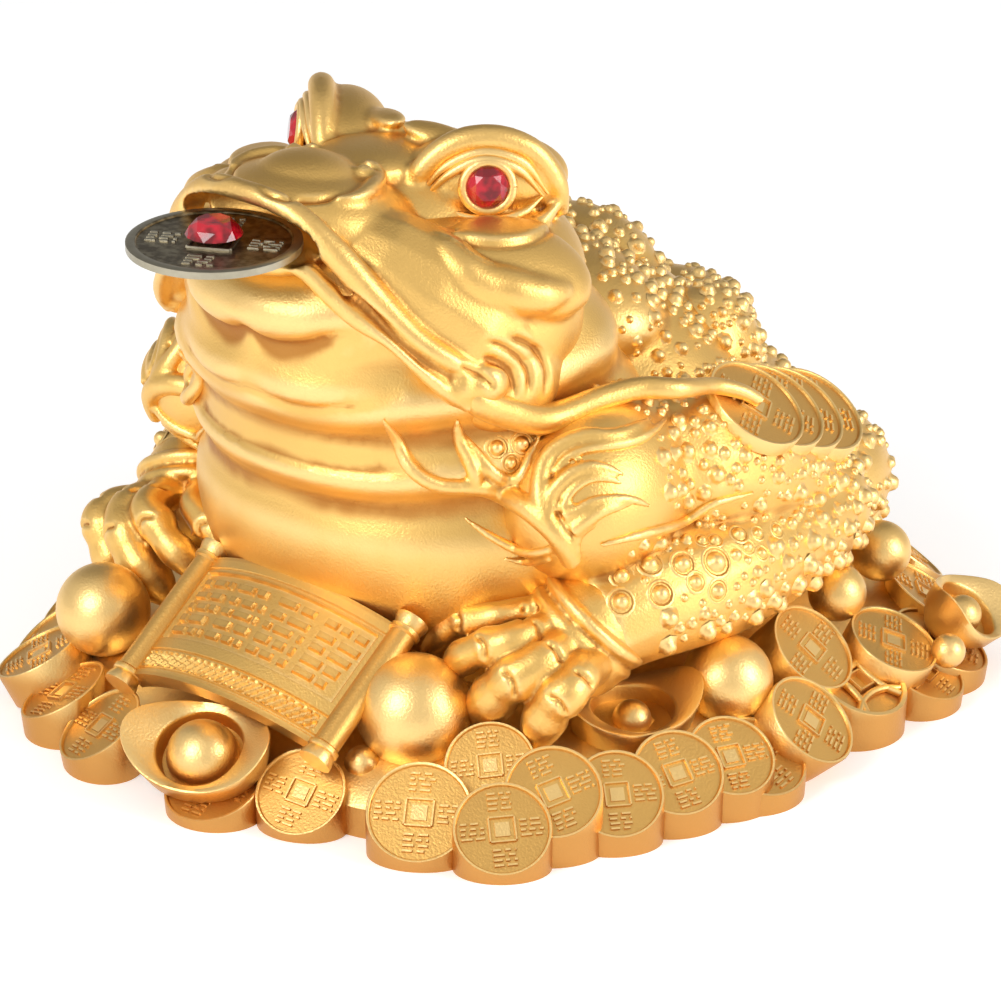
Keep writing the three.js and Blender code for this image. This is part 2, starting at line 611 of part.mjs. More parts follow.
const coinStone = piece("coin_stone", stone(COIN_STONE_DIAMETER, COIN_STONE_CROWN, COIN_STONE_DEPTH), RED);
const stoneRise = MOUTH_COIN_THICKNESS / 2 + FIT_GAP + COIN_STONE_DEPTH;
coinStone.position.copy(MOUTH_COIN_AT).add(vec(0, 0, stoneRise));
moneyToad.add(coinStone);

for (const [side, name] of [[1, "eye_stone_left"], [-1, "eye_stone_right"]]) {
  const eyeStone = piece(name, stone(EYE_STONE_DIAMETER, EYE_STONE_CROWN, EYE_STONE_DEPTH), RED);
  eyeStone.position.copy(onEye(side, 0));
  eyeStone.quaternion.setFromUnitVectors(vec(0, 0, 1), eyeNormal(side));
  moneyToad.add(eyeStone);
}

// The origin goes to the middle of the underside of all the pieces together.
moneyToad.updateMatrixWorld(true);
const middle = new THREE.Box3().setFromObject(moneyToad, true).getCenter(vec(0, 0, 0)).setZ(0);
for (const mesh of moneyToad.children) mesh.position.sub(middle);

export default moneyToad;
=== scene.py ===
# %% [markdown]
# # A money toad cast in gold
#
# The real object is one resin casting with a satin gold lacquer: a toad that squats on a heap of coins,
# pearls and boat-shaped ingots, with a scroll before its belly. A loose bronze coin lies in its mouth, and
# cut red stones are glued on that coin and into both eyes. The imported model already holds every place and
# size, so this lesson starts by loading it and never moves it.

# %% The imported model
import json
import math
import random

import bpy
import numpy as np
from mathutils import Matrix, Vector
from mathutils.bvhtree import BVHTree

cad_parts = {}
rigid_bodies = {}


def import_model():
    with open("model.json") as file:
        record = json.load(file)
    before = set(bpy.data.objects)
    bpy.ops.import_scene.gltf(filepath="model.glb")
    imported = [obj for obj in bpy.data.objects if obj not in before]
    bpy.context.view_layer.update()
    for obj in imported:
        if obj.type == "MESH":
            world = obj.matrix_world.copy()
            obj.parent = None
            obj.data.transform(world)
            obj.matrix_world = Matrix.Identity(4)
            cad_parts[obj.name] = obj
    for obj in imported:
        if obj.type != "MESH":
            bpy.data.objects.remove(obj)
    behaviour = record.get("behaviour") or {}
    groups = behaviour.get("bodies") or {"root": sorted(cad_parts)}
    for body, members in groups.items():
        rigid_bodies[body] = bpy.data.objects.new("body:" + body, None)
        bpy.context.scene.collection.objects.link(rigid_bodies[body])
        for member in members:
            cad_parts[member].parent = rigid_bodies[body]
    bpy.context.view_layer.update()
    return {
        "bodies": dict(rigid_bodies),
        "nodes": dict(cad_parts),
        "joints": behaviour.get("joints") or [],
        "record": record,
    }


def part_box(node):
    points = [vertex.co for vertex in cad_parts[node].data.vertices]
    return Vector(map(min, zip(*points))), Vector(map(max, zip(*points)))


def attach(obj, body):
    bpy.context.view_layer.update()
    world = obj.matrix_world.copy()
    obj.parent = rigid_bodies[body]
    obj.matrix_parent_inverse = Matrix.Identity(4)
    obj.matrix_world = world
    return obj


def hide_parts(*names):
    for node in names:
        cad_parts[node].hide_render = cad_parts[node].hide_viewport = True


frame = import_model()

# %% [markdown]
# ## Working in millimetres
#
# A figure this small is easier to model in millimetres, about the toad's own middle plane. The loose coin
# lies in that plane, so its packed place says how far the toad's middle is from the frame's origin. Every
# finished mesh is moved by that step and scaled to metres, and its object stays at the origin.

# %% Places
MM = 0.001
COIN_PLACE = Vector((0, -64.85, 90.9))
coin_low, coin_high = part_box("mouth_coin")
coin_middle = (coin_low + coin_high) / 2 / MM
TO_FRAME = Vector((coin_middle.x - COIN_PLACE.x, coin_middle.y - COIN_PLACE.y, 0))
SIDES = (1, -1)
print("step from the toad's middle plane to the frame, mm:", [round(v, 2) for v in TO_FRAME])


def mirrored(place, side):
    return Vector((side * place[0], place[1], place[2]))


def vectors(places, side=1):
    return [mirrored(place, side) for place in places]


def select_only(*objects):
    bpy.ops.object.select_all(action="DESELECT")
    for thing in objects:
        thing.select_set(True)
    bpy.context.view_layer.objects.active = objects[0]


def joined(things, name):
    select_only(*things)
    if len(things) > 1:
        bpy.ops.object.join()
    whole = bpy.context.object
    whole.name = name
    whole.data.name = name
    return whole


def applied(body, kind, **settings):
    modifier = body.modifiers.new(kind.lower(), kind)
    for key, value in settings.items():
        setattr(modifier, key, value)
    select_only(body)
    bpy.ops.object.modifier_apply(modifier=modifier.name)


def rotation(degrees, axis):
    return Matrix.Rotation(math.radians(degrees), 4, axis)


def added(name, data):
    body = bpy.data.objects.new(name, data)
    bpy.context.collection.objects.link(body)
    return body


def from_points(name, points, faces):
    mesh = bpy.data.meshes.new(name)
    mesh.from_pydata(points, [], faces)
    return added(name, mesh)


def triangles(body):
    return sum(len(face.vertices) - 2 for face in body.data.polygons)


# %% [markdown]
# ## The camera
#
# The photograph looks down on the toad from its front left with a long lens. The same view helps while
# modelling: a fold or a flame is drawn as a short line of pixels, and each pixel is sent out from the
# camera as a ray until it meets the skin of the body that carries it.

# %% Camera at the photograph's angle
IMAGE_SIDE = 1001
CAMERA_AZIMUTH = math.radians(40.5)
CAMERA_ELEVATION = math.radians(23)
CAMERA_DISTANCE = 900
FOCAL_PIXELS = 5625
LOOK_AT = Vector((0, 0, 45))
LOOK_AT_PIXEL = (497.65, 397.01)
SENSOR_WIDTH = 36

back = Vector((
    math.sin(CAMERA_AZIMUTH) * math.cos(CAMERA_ELEVATION),
    -math.cos(CAMERA_AZIMUTH) * math.cos(CAMERA_ELEVATION),
    math.sin(CAMERA_ELEVATION),
))
right = Vector((0, 0, 1)).cross(back).normalized()
up = back.cross(right)
camera_place = LOOK_AT + CAMERA_DISTANCE * back
middle_x = IMAGE_SIDE / 2 - LOOK_AT_PIXEL[0]
middle_y = IMAGE_SIDE / 2 - LOOK_AT_PIXEL[1]
camera_turn = (right * middle_x - up * middle_y - back * FOCAL_PIXELS).to_track_quat("-Z", "Y")

camera_data = bpy.data.cameras.new("photo_camera")
camera_data.sensor_width = SENSOR_WIDTH
camera_data.lens = FOCAL_PIXELS / IMAGE_SIDE * SENSOR_WIDTH
camera_data.clip_start = 0.05
camera = added("photo_camera", camera_data)
camera.location = (camera_place + TO_FRAME) * MM
camera.rotation_mode = "QUATERNION"
camera.rotation_quaternion = camera_turn
bpy.context.scene.camera = camera
print("lens, mm:", round(camera_data.lens, 1))


def sight(pixel):
    """The direction in which the camera sees a pixel of the photograph."""
    x, y = pixel[0] - IMAGE_SIDE / 2, IMAGE_SIDE / 2 - pixel[1]
    return (camera_turn @ Vector((x, y, -FOCAL_PIXELS))).normalized()


# %% [markdown]
# ## Lumps, strands and turned bodies
#
# The toad is built as a modeller in clay would: egg-shaped lumps for the masses, strands for limbs, lips
# and lids, and one turned body for the throat. They overlap freely, because they are pressed together
# afterwards.

# %% Basic clay forms
def lump(place, half, turn=(0, 0, 0), segments=36):
    """An egg of three half sizes."""
    turned_by = rotation(turn[0], "X") @ rotation(turn[1], "Y") @ rotation(turn[2], "Z")
    bpy.ops.mesh.primitive_uv_sphere_add(
        segments=segments, ring_count=segments // 2, radius=1,
        location=place, rotation=turned_by.to_euler(), scale=half,
    )
    bpy.ops.object.transform_apply()
    return bpy.context.object


def smooth_line(places, count):
    """Count places at even steps along a smooth curve through the given ones."""
    spots = [Vector(place) for place in places]
    spots = [2 * spots[0] - spots[1], *spots, 2 * spots[-1] - spots[-2]]
    dense = []
    for p0, p1, p2, p3 in zip(spots, spots[1:], spots[2:], spots[3:]):
        t1 = max((p1 - p0).length, 1e-6) ** 0.5
        t2 = t1 + max((p2 - p1).length, 1e-6) ** 0.5
        t3 = t2 + max((p3 - p2).length, 1e-6) ** 0.5
        for i in range(24):
            t = t1 + (t2 - t1) * i / 24
            a1 = p0.lerp(p1, t / t1)
            a2 = p1.lerp(p2, (t - t1) / (t2 - t1))
            a3 = p2.lerp(p3, (t - t2) / (t3 - t2))
            dense.append(a1.lerp(a2, t / t2).lerp(a2.lerp(a3, (t - t1) / (t3 - t1)), (t - t1) / (t2 - t1)))
    dense = np.array([*dense, spots[-2]])
    run = np.concatenate([[0], np.cumsum(np.linalg.norm(np.diff(dense, axis=0), axis=1))])
    steps = np.linspace(0, run[-1], count)
    return np.stack([np.interp(steps, run, dense[:, axis]) for axis in range(3)], axis=1)


def strand(places, widths, fine=6):
    """A round strand through the places; widths are its half widths at equal steps along it."""
    count = (len(widths) - 1) * fine + 1
    line = smooth_line(places, count)
    stations = np.linspace(0, len(widths) - 1, count)
    curve = bpy.data.curves.new("strand", "CURVE")
    curve.dimensions = "3D"
    curve.bevel_depth = 1
    curve.bevel_resolution = 5
    curve.use_fill_caps = True
    spline = curve.splines.new("POLY")
    spline.points.add(count - 1)
    for point, place, width in zip(spline.points, line, np.interp(stations, range(len(widths)), widths)):
        point.co = (*place, 1)
        point.radius = width
    select_only(added("strand", curve))
    bpy.ops.object.convert(target="MESH")
    return bpy.context.object


def turned(profile, sides, form):
    """A closed body turned about Z from (radius, height) pairs; form moves each point."""
    (_, foot), *rings, (_, top) = profile
    points = [form(0, foot, 0), form(0, top, 0)]
    angles = [2 * math.pi * i / sides for i in range(sides)]
    points += [form(radius, height, angle) for radius, height in rings for angle in angles]
    last = len(points) - sides
    faces = []
    for i in range(sides):
        j = (i + 1) % sides
        faces.append((0, 2 + j, 2 + i))
        faces += [(low + i, low + j, low + sides + j, low + sides + i) for low in range(2, last, sides)]
        faces.append((1, last + i, last + j))
    return from_points("turned", points, faces)


def pressed(parts, name, voxel, rounds):
    """The lumps as one skin: remeshed in fine voxels and smoothed a little."""
    body = joined(parts, name)
    applied(body, "REMESH", mode="VOXEL", voxel_size=voxel)
    applied(body, "SMOOTH", factor=0.5, iterations=rounds)
    print(name, "faces:", len(body.data.polygons))
    return body


# %% [markdown]
# ## The throat
#
# The throat and belly are one bulging column. A turned profile gives its rolls of skin, and the form of
# each ring is a rounded square that is deeper in front than behind and rises toward the back.

# %% Throat
THROAT_HALF_WIDTH = 37.5
THROAT_HALF_DEPTH = 34
THROAT_MIDDLE = -11
THROAT_SQUARENESS = 2.15
DEPTH_GAIN_FRONT, DEPTH_GAIN_BEHIND = 0.23, -0.36
NARROWER_BEHIND, NARROWER_ON_TOP = 0.24, 0.13
CREASE_RISE = 6
THROAT_ROLLS = (
    (0, 4), (0.82, 10), (0.98, 20), (1.03, 31), (1.01, 40), (0.93, 46.5), (0.985, 51.5),
    (0.905, 58), (0.985, 64), (0.91, 70.5), (0.93, 79), (0.7, 87.5), (0, 89.5),
)


def eased(value, low, high):
    share = min(max((value - low) / (high - low), 0), 1)
    return share * share * (3 - 2 * share)


def square_reach(across, along, squareness):
    """How far a rounded square reaches in a direction, as a share of its half size."""
    return (abs(across) ** squareness + abs(along) ** squareness) ** (-1 / squareness)


def throat_point(share, z, angle):
    c, d = math.cos(angle), math.sin(angle)
    reach = square_reach(c, d, THROAT_SQUARENESS) * share
    behind = 0.5 + 0.5 * d
    taper = (1 - NARROWER_BEHIND * eased(z, 54, 72) * behind) * (1 - NARROWER_ON_TOP * eased(z, 68, 80))
    depth = THROAT_HALF_DEPTH + (DEPTH_GAIN_FRONT if d < 0 else DEPTH_GAIN_BEHIND) * (z - 20)
    lift = eased(z, 31, 57) * eased(90 - z, 0, 12) * min(share * 4, 1)
    y = d * reach * depth + THROAT_MIDDLE - 0.1 * (z - 20)
    return (c * reach * THROAT_HALF_WIDTH * taper, y, z + CREASE_RISE * lift * behind)


def throat():
    profile = [tuple(place[:2]) for place in smooth_line([(r, z / 40, 0) for r, z in THROAT_ROLLS], 90)]
    return turned([(max(r, 0), 40 * z) for r, z in profile], 96, throat_point)


# %% [markdown]
# ## The head
#
# A broad skull carries a raised muzzle with a domed nose, full cheeks, coiled nostrils and two leaves on
# the crown. Each eye is a bulge with a heavy brow roll and a bag below. The raised ring round its stone,
# two thin upper lids and a lower lid are strands of their own. Places beside an eye are given along, above
# and out from its stone.

# %% Eyes
EYE_FACING = math.radians(45)
EYE_TILT = math.radians(8)
EYE_STONE_PLACE = Vector((19.6, -25.2, 93))


def eye_axes(side):
    level, rise = math.cos(EYE_TILT), math.sin(EYE_TILT)
    sine, cosine = math.sin(EYE_FACING), math.cos(EYE_FACING)
    outward = Vector((side * level * sine, -level * cosine, rise))
    along = Vector((side * cosine, sine, 0))
    above = (Vector((0, 0, 1)) - outward * rise).normalized()
    return along, above, outward


def by_eye(side, places):
    along, above, outward = eye_axes(side)
    stone = mirrored(EYE_STONE_PLACE, side)
    return [stone + x * along + y * above + z * outward for x, y, z in places]


BROW = (
    (-12.5, -3.4, -4.2), (-9.6, 2.6, -3.3), (-4.6, 6.3, -3), (1.2, 6.9, -3.1), (7, 4.6, -3.7),
    (10.8, -0.8, -4.9), (11.8, -6, -7),
)
UPPER_LID = ((-9.2, -1.6, -2.4), (-6, 1.8, -1.1), (-1, 4.1, -0.6), (4.5, 2.6, -0.9), (8.6, -2.2, -3))
OUTER_LID = ((-9.8, -1.2, -3), (-6.4, 2.9, -1.7), (-1, 5.1, -1.3), (5.2, 3.5, -1.6), (9.4, -2, -3.4))
LOWER_LID = ((-9.2, -1.8, -2.4), (-5, -4.2, -0.9), (0.5, -5.2, -0.5), (5.2, -4.4, -1.1), (8.4, -2.4, -2.8))
LOWER_BAG = ((-11.5, -2.2, -3.8), (-6, -6, -1.9), (1.5, -7.6, -1.6), (8, -6.2, -2.8), (11.5, -3.4, -5))


def eye(side):
    turn = (0, 0, -45 if side > 0 else -135)
    bulge = by_eye(side, [(0, 0, -8)])[0]
    return [
        lump(bulge, (7, 13, 6.9), turn, 56),
        strand(by_eye(side, BROW), (1.1, 1.8, 2.1, 2.2, 2.1, 1.9, 1.2), fine=10),
        strand(by_eye(side, LOWER_BAG), (0.7, 1.6, 1.9, 1.6, 0.7), fine=10),
    ]


def eye_rims(side):
    """The ring round the stone and the thin lids, kept crisp as strands of their own."""
    ring = [(3.8 * math.cos(a), 3.8 * math.sin(a), -0.3) for a in np.linspace(0, 2 * math.pi, 17)]
    return [
        strand(by_eye(side, UPPER_LID), (0.25, 0.7, 0.85, 0.75, 0.25), fine=10),
        strand(by_eye(side, OUTER_LID), (0.25, 0.75, 0.9, 0.8, 0.25), fine=10),
        strand(by_eye(side, LOWER_LID), (0.25, 0.75, 0.85, 0.75, 0.25), fine=10),
        strand(by_eye(side, ring), [0.75] * 17, fine=4),
    ]


# %% Head
UPPER_LIP = (
    (0, -58, 97), (8, -57, 95.6), (15, -54.6, 90), (21.5, -50.5, 81.1), (25.5, -48.1, 76.7),
    (29, -45.2, 73.6), (31.4, -39.8, 69.8),
)
LOWER_LIP = (
    (0, -58.6, 87.3), (10, -57, 87.4), (14.4, -55, 83.2), (18.4, -53.5, 79.9), (22.9, -51.4, 77.3),
    (26, -49.4, 73.8), (28.8, -46.6, 69.4), (31.2, -42.6, 65.4),
)
LIP_BED = (
    (15.3, -51.5, 85.5), (18.7, -50.3, 80), (22.9, -48.1, 76.3), (26.2, -45.8, 72.8), (28.2, -42, 68.8),
)
JAW = ((7, -47, 89), (15, -42, 82.5), (22, -35, 75.5), (25.5, -30, 69))
NOSTRIL = ((335, 199), (350, 201), (364, 196), (375, 186), (377, 173), (369, 165), (358, 167))
NOSTRIL_BALL = (364, 177)


def both_ways(line):
    return vectors(line[:0:-1], -1) + vectors(line)


def head():
    parts = [
        lump((0, -23, 77), (32, 23, 14.6), (4, 0, 0), 64),
        lump((0, -23, 84.5), (19, 20, 11.6), (2, 0, 0), 64),
        lump((0, -42, 88), (16.5, 17, 9), (-20, 0, 0), 64),
        lump((0, -44.5, 93.9), (8.6, 9, 5.8), (-8, 0, 0), 56),
        lump((0, -28, 93.5), (9, 13, 3.4), (-8, 0, 0)),
        strand(both_ways(UPPER_LIP), (1.2, 1.8, 2.3, 2.4, 2.1, 1.8, 2.1, 2.4, 2.3, 1.8, 1.2)),
        strand(both_ways(LOWER_LIP), (1, 1.4, 1.6, 1.7, 1.7, 1.7, 1.7, 1.7, 1.6, 1.4, 1)),
    ]
    for side in SIDES:
        parts += [
            strand(vectors(JAW, side), (6, 9.5, 11, 11.5, 9.5), fine=10),
            lump((side * 29, -42.6, 68.6), (3.4, 3.4, 3.4)),
            lump((side * 26.2, -43.4, 71.3), (3.4, 3.4, 3.4)),
            lump((side * 30.8, -39.2, 68.8), (3.8, 3.8, 3.8)),
            strand(vectors(LIP_BED, side), (0.8, 2.2, 2.4, 2.4, 2.2), fine=10),
            lump((side * 25.5, -30, 66.5), (9.5, 11.5, 10), segments=56),
            lump((side * 23, -26, 73.5), (11.5, 14, 14.5), segments=64),
            lump((side * 27, -27.2, 82.4), (9.2, 12.2, 5.6), (0, side * 30, side * -45), 56),
            lump((side * 5.6, -20.5, 96.8), (6, 2.8, 1.4), (0, side * 12, side * 24)),
            *eye(side),
        ]
    return parts


# %% [markdown]
# ## The back, the arms and the hands
#
# The back is two rounded masses with haunches and one hind foot. Each front leg is a shoulder, an upper
# arm that runs back to the elbow, a forearm that comes forward to a ringed wrist, and a hand of four
# knuckled fingers with blunt claws.

# %% Back
BACK_MASSES = (
    ((0, 11, 41.5), (38, 27, 28), 96), ((0, 32, 27), (34, 32, 20), 96), ((0, 4, 62), (28, 16, 12), 64),
    ((0, 20.4, 62.8), (15, 9, 9), 48), ((0, 46.4, 44.3), (14.5, 9.5, 8.6), 48),
    ((0, 58, 20.4), (12, 13, 10), 48), ((25, 48, 22), (14, 16, 13), 48), ((-25, 48, 22), (14, 16, 13), 48),
)
TOE_BEARINGS = (-30, 0, 30)
TOE = ((4, 20.4), (9, 19.2), (13, 13), (14, 9))
TOES_FROM_Y = 56


def back_masses():
    parts = [lump(place, half, segments=segments) for place, half, segments in BACK_MASSES]
    for bearing in TOE_BEARINGS:
        sine, cosine = math.sin(math.radians(bearing)), math.cos(math.radians(bearing))
        line = [(out * sine, TOES_FROM_Y + out * cosine, z) for out, z in TOE]
        parts.append(strand(line, (2.5, 3, 2.8, 1.2)))
    return parts


# %% Arms
UPPER_ARM = ((36, -14, 48), (41.5, 6, 43.5), (42.5, 19, 35.5), (44.5, 25, 29))
FOREARM = ((45, 24, 29.5), (46, 10, 29.5), (46, -5, 29.3), (43.8, -18, 29), (41.3, -26.8, 27))
WRIST = Vector((41.3, -26.8, 27))
WRIST_AXIS = Vector((0.42, 0.57, 0.7))
WRIST_RADIUS = 8.9
BAND_STEPS = (-1.5, 1.4)
BAND_POINTS = 25
FINGERS = (
    ((36.5, -30, 29), (34.1, -33.7, 29.6), (32, -37.4, 29.5), (28, -38.6, 28), (25.3, -39, 27),
     (22.6, -39.6, 24.5), (20.2, -39.5, 21.5), (18.5, -38.8, 19)),
    ((40, -32, 28), (39.7, -36.5, 29), (37.7, -42, 28.5), (34.2, -43, 26.8), (31.9, -43.8, 25.5),
     (27.8, -42.2, 21.8), (24.8, -40.1, 18.7)),
    ((42.5, -32, 26), (43.4, -37.1, 27), (43, -41.6, 26), (40.8, -44, 24), (38.1, -44.6, 21),
     (34.8, -43.5, 17), (32.7, -42.3, 14)),
    ((46, -31, 23.5), (48, -36.5, 24.6), (49, -40.8, 23.5), (47.5, -42, 21.5), (45.7, -42.3, 18.5),
     (43.8, -41.8, 15), (42.8, -41.9, 12)),
)
FINGER_WIDTHS = (
    (2, 2.6, 2.3, 2.3, 2.5, 2.9, 2.4, 2.6, 2.3, 1.8, 0.9), (2.2, 3, 2.7, 2.9, 2.9, 3.3, 2.6, 3, 2.6, 2, 1),
    (2.6, 3.5, 3.2, 3.6, 3.4, 3.8, 3.3, 4, 3.8, 3, 1.5),
    (2.6, 3.4, 3.2, 3.5, 3.3, 3.8, 3.2, 3.7, 3.4, 2.7, 1.4),
)


def arm(side):
    """The leg without its hand."""
    return [
        lump((side * 23, 24, 50), (9, 10, 13), segments=48),
        lump((side * 35, -17, 46), (14, 20, 15), (0, 0, side * 14), 64),
        strand(vectors(UPPER_ARM, side), (9, 12.3, 12, 10.3, 9), fine=12),
        strand(vectors(FOREARM, side), (9.3, 10.5, 11, 10.4, 9), fine=12),
        lump((side * 44, 26.6, 30), (9.1, 8.6, 9.8), segments=56),
    ]


def hand(side):
    """The palm, two bands round the wrist and four fingers."""
    around = WRIST_AXIS.cross(Vector((0, 0, 1))).normalized()
    over = around.cross(WRIST_AXIS).normalized()
    parts = [
        lump((side * 41.6, -29.6, 23.6), (8.2, 7.6, 7.2), segments=56),
        lump(mirrored(WRIST, side), [WRIST_RADIUS] * 3, segments=56),
    ]
    angles = np.linspace(0, 2 * math.pi, BAND_POINTS)
    for step in BAND_STEPS:
        middle = WRIST + step * WRIST_AXIS
        ring = [middle + WRIST_RADIUS * (math.cos(a) * around + math.sin(a) * over) for a in angles]
        parts.append(strand(vectors(ring, side), [1.15] * BAND_POINTS, fine=3))
    for finger, widths in zip(FINGERS, FINGER_WIDTHS):
        parts.append(strand(vectors(finger, side), widths, fine=8))
    return parts


# %% [markdown]
# ## Flames, cord and creases drawn on the skin
#
# Flames of raised skin curl from the chest over each shoulder, and a cord runs from the corner of the mouth
# to a fan of coins on the flank. A modeller rolls such details out thin and lays them on the clay. Their
# lines are read from the photograph as pixels and sent to the skin, and the far side gets their mirror.

# %% Lines from pixels to skin
def skin_tree(*bodies):
    places, faces = [], []
    for body in bodies:
        start = len(places)
        places += [vertex.co.copy() for vertex in body.data.vertices]
        faces += [[start + corner for corner in face.vertices] for face in body.data.polygons]
    return BVHTree.FromPolygons(places, faces)


def seen(tree, pixel):
    """The place on the skin that the camera sees at a pixel, and the skin's normal there."""
    return tree.ray_cast(camera_place, sight(pixel))[:2]


TRACE_STEP = 3


def traced(tree, pixels, lift=0.0, rounds=6):
    """Places on the skin under a line of pixels, evened out where the skin steps back."""
    length = sum(math.dist(a, b) for a, b in zip(pixels, pixels[1:]))
    places = []
    for x, y, _ in smooth_line([(x, y, 0) for x, y in pixels], max(3, round(length / TRACE_STEP))):
        place, normal = seen(tree, (x, y))
        if place is not None:
            places.append(place + lift * normal)
    places = np.array(places)
    for _ in range(rounds):
        places[1:-1] = 0.5 * places[1:-1] + 0.25 * (places[:-2] + places[2:])
    return places


def drawn(places, widths, side=1):
    """A strand along places that were traced."""
    return strand(smooth_line(vectors(places[::3], side), 4 * len(widths)), widths, fine=4)


throat_parts = [throat()]
head_parts = head()
back_parts = back_masses()
arm_parts = [*arm(1), *arm(-1)]
hand_parts = [*hand(1), *hand(-1)]
clay = skin_tree(*throat_parts, *head_parts, *back_parts, *arm_parts)

# %% Cheek rolls and nostrils
CHEEK_ROLL = ((434, 226), (450, 250), (472, 272), (498, 286), (526, 294), (554, 294), (576, 286))
roll = traced(clay, CHEEK_ROLL, -1.2, rounds=10)
head_parts += [drawn(roll, (1, 2.4, 3.3, 3.6, 3.6, 3.1, 1.8), side) for side in SIDES]
coil = traced(clay, NOSTRIL, 0.6, rounds=3)
ball, _ = seen(clay, NOSTRIL_BALL)
for side in SIDES:
    head_parts.append(drawn(coil, (0.4, 0.9, 1.3, 1.5, 1.4, 1.1, 0.7), side))
    head_parts.append(lump((side * ball.x, ball.y, ball.z + 0.6), (1.5, 1.5, 1.5)))
print("parts of the head:", len(head_parts))

# %% Flames
FLAMES = (
    (((383, 420), (398, 441), (405, 460), (418, 475), (439, 485), (457, 486), (476, 486), (491, 488),
      (511, 497), (530, 508), (543, 519), (556, 532), (565, 545), (572, 562)),
     (0.3, 0.9, 1.2, 1.3, 1.4, 1.7, 1.9, 2, 1.9, 1.6)),
    (((457, 419), (458, 436), (465, 452), (474, 471), (476, 484)), (0.3, 0.9, 1.2, 1.3, 1.2)),
    (((465, 436), (478, 454), (491, 471), (504, 480), (520, 480), (526, 467), (535, 445), (541, 436)),
     (0.4, 0.8, 1, 1.2, 1.2, 1, 0.8, 0.4)),
    (((565, 545), (548, 520), (541, 501), (541, 475), (548, 456), (565, 443), (587, 436), (613, 437),
      (635, 428), (656, 415)), (1.4, 1.7, 1.7, 1.6, 1.6, 1.5, 1.4, 1.3, 0.9, 0.3)),
    (((554, 473), (561, 462), (578, 452), (600, 447), (626, 443), (648, 434), (671, 415)),
     (0.5, 0.8, 0.9, 1, 1, 0.7, 0.3)),
    (((552, 512), (548, 501), (557, 486), (572, 473), (591, 467), (609, 469), (624, 475)),
     (1.2, 1.3, 1.3, 1.3, 1.2, 0.8, 0.3)),
    (((563, 508), (570, 493), (587, 480), (606, 478), (622, 484)), (0.9, 0.8, 0.8, 0.7, 0.3)),
    (((563, 516), (578, 510), (593, 501), (613, 499), (630, 499), (650, 506)), (1.1, 1, 0.9, 0.9, 0.7, 0.3)),
    (((572, 530), (580, 523), (596, 512), (613, 506), (634, 504)), (1.5, 1.5, 1.3, 1, 0.3)),
    (((596, 524), (587, 527), (576, 536), (574, 549), (584, 562)), (0.5, 0.9, 1, 1, 0.5)),
    (((600, 545), (641, 534), (674, 525), (691, 517), (710, 504), (735, 497), (760, 491)),
     (0.4, 0.8, 0.9, 1, 0.9, 0.7, 0.3)),
    (((463, 517), (487, 534), (511, 547), (535, 553), (554, 548)), (0.3, 0.7, 0.9, 0.9, 0.8)),
    (((504, 558), (522, 562), (539, 560), (554, 556)), (0.3, 0.7, 0.8, 0.7)),
)
FLAME_LIFT = 0.1
flame_parts = []
for pixels, widths in FLAMES:
    line = traced(clay, pixels, FLAME_LIFT)
    flame_parts += [drawn(line, widths, side) for side in SIDES]
print("flames on both sides:", len(flame_parts))

# %% Cord
STRUNG_PIXEL = (754, 407)
STRUNG_FACING = Vector((0.56, 0.12, 0.82))
STRUNG_STEP = Vector((-1.01, 6.48, -2.71))
STRUNG_RADIUS = 8.6
STRUNG_WALLS = (2.6, 4, 5, 6)
STRUNG = seen(clay, STRUNG_PIXEL)[0] + 1.1 * STRUNG_FACING
CORD = (
    (27.4, -42.4, 71.6), (30.8, -41.2, 66.8), (32.5, -35.5, 63), (34, -28.5, 60), (37.4, -19.7, 61.4),
    (40.3, -13.7, 62), (43.9, -9, 61.4), STRUNG + Vector((-3.2, -6.3, 3.9)), STRUNG + Vector((-1, -2.4, 2.2)),
    STRUNG + 0.4 * STRUNG_FACING,
)
cord_parts = [strand(CORD, (1.4, 2.6, 2.7, 2.5, 2.1, 1.9, 1.8, 1.5, 1.4, 1.2), fine=10)]
cord_line = smooth_line(CORD, 100)
print("cord, mm:", round(float(np.linalg.norm(np.diff(cord_line, axis=0), axis=1).sum()), 1))

# %% [markdown]
# ## Pressing the clay together
#
# A remesh in fine voxels turns the overlapping lumps of each region into one skin, which a few rounds of
# smoothing blend. The mouth is then cut out as a lens and gets its tongue.

# %% Press
HEAD_VOXEL = 0.44
BODY_VOXEL = 0.8
THROAT_VOXEL = 1
ARM_VOXEL = 0.66
HAND_VOXEL = 0.4
DETAIL_VOXEL = 0.4
MOUTH_GAP = ((0, -56.5, 90.9), (13.75, 9, 5.2))
TONGUE = ((0, -53.5, 86.8), (11, 8, 3))

toad_head = joined(head_parts, "toad_head")
applied(toad_head, "REMESH", mode="VOXEL", voxel_size=HEAD_VOXEL)
gap = lump(*MOUTH_GAP, segments=48)
applied(toad_head, "BOOLEAN", operation="DIFFERENCE", object=gap, solver="EXACT")
bpy.data.objects.remove(gap)
toad_head = pressed([toad_head, lump(*TONGUE, segments=48)], "toad_head", HEAD_VOXEL, 7)
toad_throat = pressed(throat_parts, "toad_throat", THROAT_VOXEL, 4)
toad_back = pressed(back_parts, "toad_back", BODY_VOXEL, 8)
toad_arms = pressed(arm_parts, "toad_arms", ARM_VOXEL, 9)
toad_hands = pressed(hand_parts, "toad_hands", HAND_VOXEL, 5)
flames = pressed([*flame_parts, *cord_parts], "flames_and_cord", DETAIL_VOXEL, 3)
lids = joined([*eye_rims(1), *eye_rims(-1)], "eye_rings_and_lids")

